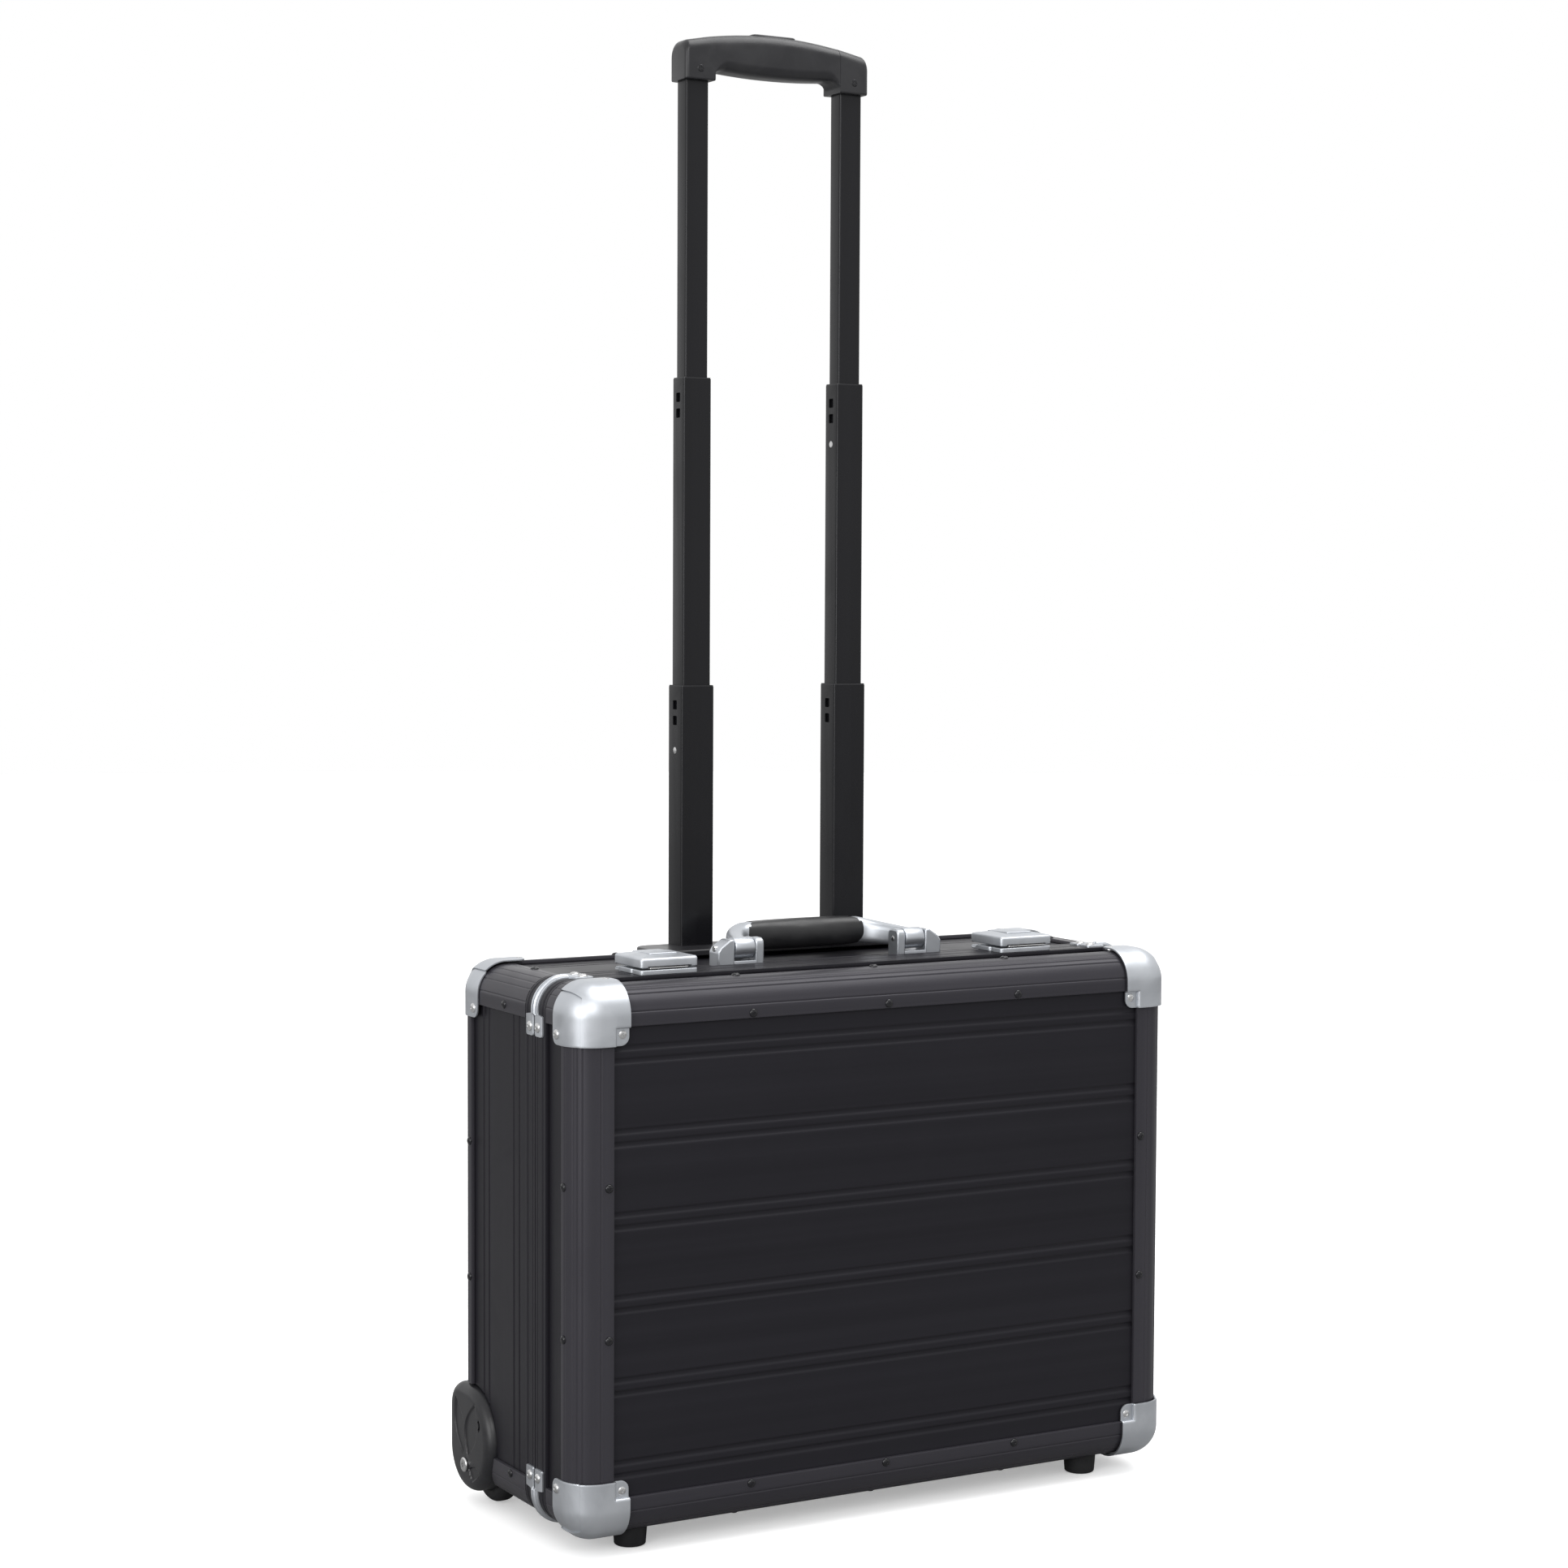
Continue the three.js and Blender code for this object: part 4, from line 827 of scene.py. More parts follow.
# %% Black rivets
ROWS = (TOP - 22.9, -1, TOP), (BOTTOM + 23.5, 1, BOTTOM)  # heights on the faces, towards the middle, ends
lid_rows, rear_rows = [], []
for x in (-1, 0, 1):
    for on_face, inwards, edge in ROWS:
        lid_rows += [(105 * x, 0, on_face, 0, -1, 0), (107 * x, 20.5, edge, 0, 0, -inwards)]
        rear_rows.append((105 * x, BACK, on_face, 0, 1, 0))
for s in (-1, 1):
    for z in (144.5, 244.0):
        lid_rows += [(s * 211, 0, z, 0, -1, 0), (s * HALF, 18.5, z, s, 0, 0)]
        rear_rows.append((s * 211, BACK, z, 0, 1, 0))
    rear_rows += [(s * HALF, BACK - 19, z, s, 0, 0) for z in (158.0, 252.0)]
    rear_rows += [(s * HALF, 109, TOP - 22, s, 0, 0), (s * HALF, 99, BOTTOM + 23.5, s, 0, 0)]
    rear_rows += [(s * 210, 114, TOP, 0, 0, 1), (s * 210, 104, BOTTOM, 0, 0, -1),
                  (s * 123, BACK - 19, TOP, 0, 0, 1)]
rivets("lid_rivets", lid_rows, 2.9, 1.4, STUD, "lid", "black_aluminium")
rivets("rear_rivets", rear_rows, 2.9, 1.4, STUD, "rear_half", "black_aluminium")
print(len(lid_rows) + len(rear_rows), "black rivets")

# %% Silver rivets
ON_CAP, ON_TRIM = 1.4, 1.1  # how far their heads start above the case
lid_rows, rear_rows = [], []
for s in (-1, 1):
    for edge, out, face_drop in ((TOP, 1, 31.2), (BOTTOM, -1, 31.4)):
        lid_rows += [(s * 201.3, 1.2, edge - out * face_drop, 0, -1, 0),
                     (s * 201.0, 25.5, edge + out * ON_CAP, 0, 0, out),
                     (s * (HALF + ON_CAP), 25.5, edge - out * 31.7, s, 0, 0)]
        for y, rows in ((PARTING - 6.0, lid_rows), (PARTING + 6.0, rear_rows)):
            rows += [(s * (HALF + ON_TRIM), y, edge - out * 31.0, s, 0, 0),
                     (s * 203.5, y, edge + out * ON_TRIM, 0, 0, out)]
    rear_rows += [(s * (HALF + ON_CAP), BACK - 28.5, TOP - 29.5, s, 0, 0),
                  (s * 200, BACK - 24, TOP + ON_CAP, 0, 0, 1),
                  (s * 201.3, BACK - 1.2, TOP - 31.2, 0, 1, 0)]
rivets("lid_cap_rivets", lid_rows, 3.4, 1.6, STEEL, "lid", "silver_metal")
rivets("rear_cap_rivets", rear_rows, 3.4, 1.6, STEEL, "rear_half", "silver_metal")
print(len(lid_rows) + len(rear_rows), "silver rivets")

# %% [markdown]
# ## Feet
# A foot is a turned rubber stud with a shallow recess underneath and a rolled lower edge.

# %% Feet
for side in ("left", "right"):
    a, b = inside(f"foot_{side}")
    radius, middle = (b[0] - a[0]) / 2, (a + b) / 2
    shape = np.concatenate([
        [[radius - 5, 0.6], [radius - 3.2, 0.0]], rolled(radius - 2.2, 0.0, radius - 0.9, 1.2),
        [[radius, b[2] - 1.0], [radius, b[2]], [radius - 6, b[2]]],
    ])
    stand_in(f"foot_{side}", turned(shape, (middle[0], middle[1], 0), [0, 0, 1]), RUBBER, "lid", "foot_rubber")

# %% [markdown]
# ## Wheels and axle screws
# A wheel is a rubber tyre on a hub with a sunk web. Its profile goes from the bore across the hub,
# down to the web, up over the rounded tyre and back the same way on the other side. The axle is a
# screw with a round head and a six-pointed socket.

# %% Wheels
for side, sign in SIDES:
    a, b = inside(f"wheel_{side}")
    radius, half, middle = (b[2] - a[2]) / 2, (b[0] - a[0]) / 2, (a + b) / 2
    flank = [[3.3, -half], [8.5, -half], [9.2, 0.5 - half], [9.8, 2.2 - half], [radius - 8.5, 2.2 - half],
             [radius - 7.6, 0.6 - half], [radius - 7.0, -half]]
    shape = np.concatenate([flank, rolled(radius - 5.0, -half, radius, 5.0 - half, 8)])
    shape = np.concatenate([shape, shape[::-1] * [1, -1]])
    wheel = skin(turned(shape, middle, [1, 0, 0], 72), round_trip=True)
    stand_in(f"wheel_{side}", wheel, RUBBER, f"{side}_wheel", "wheel_tread", 35)
    a, b = inside(f"wheel_axle_{side}")
    outer = a[0] if sign < 0 else b[0]
    head = np.concatenate([[[0.8, 0.1], [3.6, 0.0]], rolled(3.9, 0.05, 5.0, 0.9),
                           [[5.0, 1.5], [3.0, 1.5], [3.0, 38.0]]])
    turn = np.linspace(0, 2 * np.pi, 12, endpoint=False)
    star = np.where(np.arange(12) % 2, 1.25, 2.6)
    outline = np.stack([WHEEL_Y + star * np.cos(turn), WHEEL_Z + star * np.sin(turn)], 1)
    socket = tool(carried(outline, "x", [outer - 1.0, outer + 1.0]))
    screw = turned(head, (outer, WHEEL_Y, WHEEL_Z), [-sign, 0, 0], 40)
    stand_in(f"wheel_axle_{side}", screw, STEEL, "rear_half", "steel", cuts=[socket])

# %% [markdown]
# ## Wheel housings
# A moulded bucket on each rear bottom corner. Its outer face is one surface in two parameters: how
# far out from the middle a point is, and where it is round the outline. Near the outline the face
# rolls over into the side wall, and leaf-shaped hollows are pressed into its flat.

# %% Leaves in the housing's face
# (y and z of both tips, seen from the axle, and the leaf's half width)
LEAVES = [(3, 6, 17, 44, 7.5), (-3, 6, -14, 44, 9.0), (-5, -2, -25, -9, 6.5)]


def leaf(y, z, tip_a, tip_b, width):
    """1 inside a leaf between two tips and 0 outside, with a soft border: the leaf's half width at
    t of the way along is width * sin(pi * t)."""
    along = tip_b - tip_a
    length = np.linalg.norm(along)
    along = along / length
    dy, dz = y - tip_a[0], z - tip_a[1]
    t = (dy * along[0] + dz * along[1]) / length
    off = np.abs(-dy * along[1] + dz * along[0])
    room = width * np.sin(np.pi * np.clip(t, 0, 1)) - off
    return np.clip(room / 0.9 + 0.5, 0, 1) * (t > 0) * (t < 1)


def face_hollow(y, z):
    """How deep the outer face is pressed in at (y, z)."""
    axle_at = np.array([WHEEL_Y, WHEEL_Z])
    deepest = np.zeros_like(y)
    for *tips, width in LEAVES:
        deepest = np.maximum(deepest, leaf(y, z, axle_at + tips[:2], axle_at + tips[2:], width))
    return 1.1 * eased(deepest)


def housing(sign):
    """The housing on one side, as loops from the middle of its outer face outwards, over the edge
    and along the wall."""
    outer, inner = HALF + HOUSING_OUT, HALF - HOUSING_IN
    count, inset, edge, dome = 220, 1.0, 8.0, 0.5
    rim, flat_rim = housing_outline(inset, count), housing_outline(edge + inset, count)
    middle = np.array([WHEEL_Y, WHEEL_Z + 16])
    rows = []
    for s in np.concatenate([np.linspace(0.02, 0.85, 42), np.linspace(0.87, 1, 8)]):
        yz = middle + s * (flat_rim - middle)
        rows.append((outer - face_hollow(yz[:, 0], yz[:, 1]) - dome * s**2, yz))
    for angle in np.linspace(0, np.pi / 2, 9)[1:]:
        rows.append((outer - dome - (edge - dome) * (1 - np.cos(angle)),
                     flat_rim + (rim - flat_rim) * np.sin(angle)))
    rows += [(x, rim) for x in (outer - edge - 1.0, inner + 1, inner)]
    return np.array([np.column_stack([np.full(count, 1.0) * sign * x, yz]) for x, yz in rows])


WHEEL_ROOM = 2.5  # round the wheel and at its sides
for side, sign in SIDES:
    a, b = inside(f"wheel_{side}")
    half, radius = (b[0] - a[0]) / 2 + WHEEL_ROOM, (b[2] - a[2]) / 2 + WHEEL_ROOM
    turn = np.linspace(0, np.pi, 33)
    arch = np.stack([WHEEL_Y + radius * np.cos(turn), WHEEL_Z + radius * np.sin(turn)], 1)
    arch = np.concatenate([arch, [[WHEEL_Y - radius, -2], [WHEEL_Y + radius, -2]]])
    mid = (a[0] + b[0]) / 2
    # a short curved slot beside the upper leaf
    bend = np.linspace(-0.9, 1.1, 12)
    slot = np.concatenate([
        np.stack([WHEEL_Y - 18.5 - r * np.cos(t), WHEEL_Z + 31 + r * np.sin(t)], 1)
        for r, t in ((5.2, bend), (2.9, bend[::-1]))
    ])
    cuts = [tool(carried(arch, "x", [mid - half, mid + half])), tool(rod(3.2, 60, (mid, WHEEL_Y, WHEEL_Z), 32)),
            tool(carried(slot, "x", [sign * (HALF + 1.2), sign * (HALF + 6)]))]
    stand_in(f"wheel_housing_{side}", housing(sign), PLASTIC, "rear_half", "black_plastic", 38, cuts)
print("housings and wheels")

# %% [markdown]
# ## Small blocks with soft edges
# Latches, plates, the collar and the button are all low blocks with a rounded plan and a rounded top
# edge, some with a crowned top. One function makes them: the plan is repeated at rising heights, is
# drawn in over the edge, and then shrinks to the middle along the crown.

# %% Soft block
def soft_block(x0, x1, y0, y1, floor, top, corner, edge, under=0.3, rings=8, steps=8):
    """Loops of a block. top is a height or a function of x and y. Over the edge the plan goes in by
    edge * (1 - cos t) while the height is top - edge * (1 - sin t), as a quarter circle does."""
    crown = top if callable(top) else (lambda x, y: np.full_like(x, float(top)))

    def plan(inset):
        return rounded_rectangle(x0 + inset, x1 - inset, y0 + inset, y1 - inset,
                                 max(corner - inset, 0.05), steps)

    rows = [(plan(under), floor), (plan(0), floor + under)]
    for t in np.linspace(0, np.pi / 2, 6):
        p = plan(edge * (1 - np.cos(t)))
        rows.append((p, crown(p[:, 0], p[:, 1]) - edge * (1 - np.sin(t))))
    last, middle = plan(edge), np.array([(x0 + x1) / 2, (y0 + y1) / 2])
    for s in np.linspace(1, 0.02, rings)[1:]:
        p = middle + s * (last - middle)
        rows.append((p, crown(p[:, 0], p[:, 1])))
    return np.array([np.column_stack([p, np.full(len(p), 1.0) * z]) for p, z in rows])


# %% [markdown]
# ## Latches
# A latch is three stacked parts: a base split at the parting, a thin bright hook plate, and the
# crowned cover that swings up about a pin at its rear, with a flat raised field on its back.

# %% Latches
PIN_BACK, PIN_RISE = 4, 2.7  # the pin in front of the latch's rear, and above the base's full height
TURNING_ROOM = 5.9  # radius of the hollow in which the cover's rear turns
for side in ("left", "right"):
    a, b = inside(f"latch_cover_{side}")
    base_front = inside(f"latch_base_{side}")[0][1]
    (_, _, floor), (_, strike_rear, plate_top) = inside(f"latch_strike_{side}")
    front, rear = a[1], b[1]
    middle, pin_y, pin_z = (a[0] + b[0]) / 2, rear - PIN_BACK, plate_top + PIN_RISE
    pin_at = (middle, pin_y, pin_z)
    for name, y0, y1, body, cuts in (
        ("strike", front, strike_rear, "lid", ()),
        ("base", base_front, rear, "rear_half", [tool(rod(TURNING_ROOM, 30, pin_at, 48))]),
    ):
        block = soft_block(a[0], b[0], y0, y1, floor - 0.3, plate_top - 0.6, 2.6, 0.7)
        stand_in(f"latch_{name}_{side}", block, SILVER, body, "silver_metal", 40, cuts)
    lug = together([
        turned([[2.2, -8], [2.6, -7.6], [2.6, 7.6], [2.2, 8]], pin_at, [1, 0, 0], 24),
        rod(1.1, 18.5, pin_at, 16),
        soft_block(middle - 7.8, middle + 7.8, pin_y - 2.5, pin_y + 2.5, floor, pin_z, 0.4, 0.3),
    ])
    finished(mesh_object(f"latch_lug_{side}", lug, STEEL), "rear_half", "silver_metal")

    centre, half = (front + rear) / 2, (rear - front) / 2

    def crown(x, y):
        """Height of the cover's back: it rises from the front and rear edges as 1 - t^2."""
        return 385.3 + 2.6 * (1 - ((y - centre) / half) ** 2)

    cover = soft_block(a[0], b[0], front, rear, a[2] + 0.45, crown, 2.2, 1.5, under=0.5, rings=12)
    room = rounded_rectangle(pin_y - 3.4, rear + 2, a[2] - 1, pin_z + 3.4, 0.8)
    lip = rounded_rectangle(front - 1, front + 9, a[2] - 1, a[2] + 1.5, 0.3)
    cuts = [tool(carried(room, "x", [middle - 8.5, middle + 8.5])), tool(rod(1.4, 19, pin_at, 24)),
            tool(carried(lip, "x", [middle - 16.5, middle + 16.5]))]
    stand_in(f"latch_cover_{side}", cover, SILVER, f"{side}_latch", "silver_metal", 40, cuts)
    step = soft_block(middle - 10.5, middle + 10.5, front + 9, rear - 5, 386.0,
                      lambda x, y: crown(x, y) + 0.8, 1.2, 0.5)
    finished(mesh_object(f"latch_step_{side}", step, SILVER, 40), f"{side}_latch", "silver_metal")
    hook = soft_block(middle - 14.5, middle + 14.5, front + 0.6, front + 8.5, a[2] - 0.3, a[2] + 0.8,
                      0.8, 0.3, under=0.2)
    finished(mesh_object(f"latch_hook_{side}", hook, STEEL, 40), f"{side}_latch", "silver_metal")
print("latches")

# %% [markdown]
# ## Carry handle
# Two brackets hold a barrel each between an inner ear and an outer block. From the barrels a silver
# arm runs back and bends into the bar, and a soft grip is drawn over the bar. The brackets are
# outlines pushed through with softened edges.

# %% Brackets
AXIS_DROP = 6.7  # the handle's axis below the top of the brackets
for side, sign in SIDES:
    a, b = inside(f"handle_bracket_{side}")
    inner, outer = (b[0], a[0]) if sign < 0 else (a[0], b[0])
    y0, y1, z0, z1 = a[1], b[1], a[2], b[2]
    axis_at = (inner, (y0 + y1) / 2, z1 - AXIS_DROP)
    turn = np.linspace(0, np.pi, 25)
    arch = np.stack([axis_at[1] + (y1 - y0) / 2 * np.sign(np.cos(turn)) * np.abs(np.cos(turn)) ** 0.6,
                     z1 - 6 + 6 * np.sin(turn) ** 0.6], 1)
    ear = carried(np.concatenate([[[y0, z0], [y1, z0]], arch]), "x", [inner, inner + sign * 6.5])
    # (distance in from the outer end, drop from the top, or None for the bracket's foot)
    block = [(0, None), (0, 8.5), (2.0, 5.5), (9.5, 0.4), (13, 0.4), (13, None)]
    block = [[outer - sign * x, z0 if drop is None else z1 - drop] for x, drop in block]
    block = carried(block, "y", [y0, y1])
    for label, part, nodes in (("ear", ear, [f"handle_bracket_{side}"]), ("block", block, [])):
        piece = mesh_object(f"bracket_{label}_{side}", part, SILVER, 30)
        finished(soften(piece, 1.2, 3, 30), "rear_half", "silver_metal", *nodes)
    base = soft_block(min(inner, outer) + 1, max(inner, outer) - 1, y0 + 0.4, y1 - 0.4, z0, z0 + 4.2, 0.6, 0.4)
    finished(mesh_object(f"bracket_base_{side}", base, SILVER, 40), "rear_half", "silver_metal")
    pin = together([turned(shape, axis_at, [sign, 0, 0], 24) for shape in (
        [[0.5, -0.35], [1.5, -0.3], [1.9, 0.0], [1.9, 0.5]], [[2.0, 0], [2.0, 36]])])
    finished(mesh_object(f"bracket_pin_{side}", pin, STEEL, 40), "rear_half", "steel")

# %% [markdown]
# The handle's frame is one casting: its path goes back from one barrel, bends along the case and
# comes forward to the other. At each step of the path a rounded section stands across it, growing
# from the arm's size to the bar's.

# %% Handle frame
grip_a, grip_b = inside("carry_handle_grip")
bracket_a, bracket_b = inside("handle_bracket_left")
AXIS_Y, AXIS_Z = (bracket_a[1] + bracket_b[1]) / 2, bracket_b[2] - AXIS_DROP
BAR_Y, BAR_Z = (grip_a[1] + grip_b[1]) / 2, (grip_a[2] + grip_b[2]) / 2


def handle_path(count=121):
    """(x, y) of the casting's middle: x runs from one barrel to the other, and y is the bar's depth
    less a share of the reach that grows as the 2.6th power near the ends."""
    x = np.sin(np.linspace(-np.pi / 2, np.pi / 2, count)) * 69.0
    near = np.clip((np.abs(x) - 40) / 29.0, 0, 1)
    return np.stack([x, BAR_Y - (BAR_Y - AXIS_Y - 3) * near**2.6], 1)


def superellipse(count, power):
    """Unit outline |a|^p + |b|^p = 1."""
    phi = np.linspace(0, 2 * np.pi, count, endpoint=False)
    return (np.sign(wave) * np.abs(wave) ** (2 / power) for wave in (np.cos(phi), np.sin(phi)))


path = handle_path()
tangent = np.gradient(path, axis=0)
tangent /= np.linalg.norm(tangent, axis=1, keepdims=True)
near = np.clip((np.abs(path[:, :1]) - 46) / 22.0, 0, 1)
across, upright = superellipse(40, 3.6)
half_width, half_height = (8.0 - 2.4 * near) * across, (9.2 - 2.6 * near) * upright
arm = np.stack([path[:, :1] - tangent[:, 1:] * half_width, path[:, 1:] + tangent[:, :1] * half_width,
                BAR_Z + (AXIS_Z + 0.2 - BAR_Z) * near + half_height], -1)
BARREL = [[5.9, 0], [6.9, 0.4], [7.3, 1.2], [7.3, 14.7], [6.9, 15.5], [5.9, 15.9]]
barrels = [turned(BARREL, (x, AXIS_Y, AXIS_Z), [1, 0, 0], 56) for x in (-76.6, 60.7)]
stand_in("carry_handle_frame", together([arm, *barrels]), SILVER, "carry_handle", "silver_metal", 40)

# %% [markdown]
# ### The soft grip
# The grip is a thick foam sleeve. It starts as a slightly slim sleeve whose ends run out into round
# tongues, and a short Cloth run with a little air pressure swells it, so that it is fullest between
# its ends. How far a point may move is capped, and one subdivision smooths the result.

# %% Sleeve before it swells
def sleeve(count=61, around=48):
    """Loops along the bar: at share t of its length x = t * (length + tongue * sqrt(1 - b^2)), where b
    is the height from -1 to 1, so each end is a round tongue at the front and the back. The section
    is a superellipse that narrows a little towards each end."""
    a, b = superellipse(around, 2.7)
    t = np.linspace(-1, 1, count)[:, None]
    length, tongue = (grip_b[0] - grip_a[0]) / 2 - 8.0, 10.5
    full = 1 - 0.05 * np.abs(t) ** 6
    return np.stack([t * (length + tongue * np.sqrt(np.clip(1 - b**2, 0, 1))),
                     BAR_Y + 9.2 * a * full, BAR_Z + 10.2 * b * full], -1)


def positions(piece):
    """The piece's points as an array."""
    found = np.empty(len(piece.data.vertices) * 3)
    piece.data.vertices.foreach_get("co", found)
    return found.reshape(-1, 3)


def swell(piece, pressure=4.0, cap_mm=1.2, frames=20):
    """Inflates a closed mesh as cloth with no gravity, keeps each point within cap_mm of where it
    started, and leaves no modifier behind."""
    start = positions(piece)
    cloth = piece.modifiers.new("cloth", "CLOTH")
    cloth.settings.use_pressure = True
    cloth.settings.uniform_pressure_force = pressure
    cloth.settings.effector_weights.gravity = 0.0
    cloth.point_cache.frame_start, cloth.point_cache.frame_end = 1, frames
    for step in range(1, frames + 1):
        bpy.context.scene.frame_set(step)
    moved = positions(piece.evaluated_get(bpy.context.evaluated_depsgraph_get())) - start
    length = np.maximum(np.linalg.norm(moved, axis=1, keepdims=True), 1e-9)
    moved *= np.minimum(1.0, cap_mm * MM / length)
    piece.modifiers.clear()
    piece.data.vertices.foreach_set("co", (start + moved).ravel())
    piece.data.update()
    bpy.context.scene.frame_set(1)
    return float(np.linalg.norm(moved, axis=1).max() / MM)


grip = mesh_object("carry_handle_grip_skin", sleeve(), PADDING, 60)
print(f"the grip swells by up to {swell(grip):.2f} mm")
smooth = grip.modifiers.new("smooth", "SUBSURF")
smooth.levels = smooth.render_levels = 1
finished(grip, "carry_handle", "handle_padding", "carry_handle_grip")

# %% [markdown]
# ## Trolley tubes
# Three stages of rounded tube slide in each other. A tube is its outline at the bottom and the top,
# with the inner wall as a second stack of loops. The lower two have lock windows and a plastic rim
# that guides the stage above, and each has one lock pin, which shows as a bright dot.

# %% Tubes
def tube_wall(a, b, wall, corner, z0, z1):
    """An open tube in the box from a to b as one round-trip skin: up the outside and down the
    inside. The inner corners are drawn in with the wall, to 0.3 mm at least."""
    outer, inner = (grown(a, b, -inset, max(corner - inset, 0.3), 5) for inset in (0, wall))
    rows = [(outer, z0), (outer, z1), (inner, z1), (inner, z0)]
    return skin(np.array([np.column_stack([p, np.full(len(p), z)]) for p, z in rows]), round_trip=True)


LOCK_DROPS = (13.0, 24.0)  # middles of the lock windows below the tube's top
for stage in ("lower", "middle", "upper"):
    for side in ("left", "right"):
        a, b = inside(f"{stage}_tube_{side}")
        y, cuts = (a[1] + b[1]) / 2, []
        if stage != "upper":
            for z in (b[2] - drop for drop in LOCK_DROPS):
                window = rounded_rectangle(y - 3, y + 3, z - 3.25, z + 3.25, 0.9, 3)
                cuts.append(tool(carried(window, "x", [a[0] - 2, b[0] + 2])))
        tube = tube_wall(a, b, 1.3, 1.6, a[2], b[2])
        stand_in(f"{stage}_tube_{side}", tube, TUBE, f"trolley_{stage}", "black_aluminium", 25, cuts)
        if stage != "upper":
            rim = tube_wall(a + 0.15, b - 0.15, 1.6, 1.8, b[2] - 0.2, b[2] + 0.9)
            finished(mesh_object(f"{stage}_rim_{side}", rim, PLASTIC, 30), f"trolley_{stage}", "black_plastic")
for stage, side, drop in (("lower", "left", 45.2), ("middle", "right", 42.5)):
    a, b = inside(f"{stage}_tube_{side}")
    at = (a[0], (a[1] + b[1]) / 2, b[2] - drop)
    pin = turned([[0.4, 0.16], [1.6, 0.13], [2.3, 0.0], [2.5, -0.6]], at, [-1, 0, 0], 28)
    finished(mesh_object(f"lock_pin_{stage}_{side}", pin, STEEL, 40), f"trolley_{stage}", "steel")

# %% Collar
a, b = inside("trolley_collar")
collar = soft_block(a[0], b[0], a[1], b[1], a[2] - 0.2, b[2], 12.0, 1.3, steps=12)
holes = [tool(carried(grown(*inside(f"lower_tube_{side}"), GAP, 2.9), "z", [a[2] - 5, b[2] + 5]))
         for side in ("left", "right")]
stand_in("trolley_collar", collar, PLASTIC, "rear_half", "black_plastic", 40, holes)

# %% [markdown]
# ## Trolley grip
# The grip is a moulded bridge: two legs with square lower ends, and between them an arched bar that
# bulges to fill the hand. At each station across the case the section is a rounded rectangle with
# its own top, bottom, depth and corner radii, and the two ends are drawn in to a soft edge.

# %% Trolley grip
a, b = inside("trolley_grip")
GRIP_HALF, LEG_FOOT, GRIP_TOP = b[0], a[2], b[2]
GRIP_Y = (a[1] + b[1]) / 2
LEG = 23.4  # width of a leg
INNER = GRIP_HALF - LEG
SOFT_END, FILLET_REACH, ARCH = 4.0, 9, 8.7


def grip_section(z0, z1, half, low_corner, top_corner):
    """A loop of (y, z): a rectangle whose lower and upper corners have their own radii."""
    turn = np.linspace(0, np.pi / 2, 9)
    loop = []
    for sy, sz, start in ((1, -1, -np.pi / 2), (1, 1, 0), (-1, 1, np.pi / 2), (-1, -1, np.pi)):
        radius = top_corner if sz > 0 else low_corner
        y, z = GRIP_Y + sy * (half - radius), z1 - radius if sz > 0 else z0 + radius
        loop.append(np.stack([y + radius * np.cos(start + turn), z + radius * np.sin(start + turn)], 1))
    return np.concatenate(loop)


def grip_stations():
    """x of the sections: close together over the ends and where the legs meet the bar."""
    ends = GRIP_HALF - SOFT_END * (1 - np.sin(np.linspace(0, np.pi / 2, 8)))
    fillet = INNER - FILLET_REACH * (1 - np.cos(np.linspace(0, np.pi / 2, 10)))
    right = np.concatenate([np.linspace(0, INNER - 9.5, 30), fillet,
                            [INNER + 0.02, INNER + 0.6, INNER + 4], ends])
    return np.unique(np.concatenate([-right, right]).round(4))


def drawn_in(away, start, reach):
    """How far a quarter circle has come in at a distance past its start: 0 there, 1 at its reach."""
    share = max(0.0, (away - start) / reach)
    return share, 1 - math.sqrt(max(0.0, 1 - share * share))


def grip_loop(x):
    """The section at x."""
    away = abs(x)
    top = GRIP_TOP - ARCH * (away / GRIP_HALF) ** 2
    if away > INNER:
        pull = SOFT_END * drawn_in(away, GRIP_HALF - SOFT_END, SOFT_END)[1]
        return grip_section(LEG_FOOT, top - pull, 12.0 - 0.6 * pull, 1.2, 7.5)
    arch = LEG_FOOT + 8.5 - 2.6 * (1 - (away / INNER) ** 2)
    near, fillet = drawn_in(away, INNER - FILLET_REACH, FILLET_REACH)
    return grip_section(arch - 6.0 * fillet, top, 12.4 - 0.6 * near, 7.5 - 5.0 * near, 8.5 - near)


loops = np.stack([np.column_stack([np.full(36, x), grip_loop(x)]) for x in grip_stations()])
button_a, button_b = inside("release_button")
cuts = [tool(carried(grown(button_a, button_b, 0.5, 4.5), "z", [button_a[2] - 4, GRIP_TOP + 6]))]
for side in ("left", "right"):
    tube = inside(f"upper_tube_{side}")
    cuts.append(tool(carried(grown(*tube, GAP, 2.6), "z", [LEG_FOOT - 4, tube[1][2] + GAP])))
stand_in("trolley_grip", loops, PLASTIC, "trolley_upper", "black_plastic", 35, cuts)

# %% [markdown]
# The release button is a low soft block let into the top of the grip, and two crosshead screws hold
# the grip to the tubes.

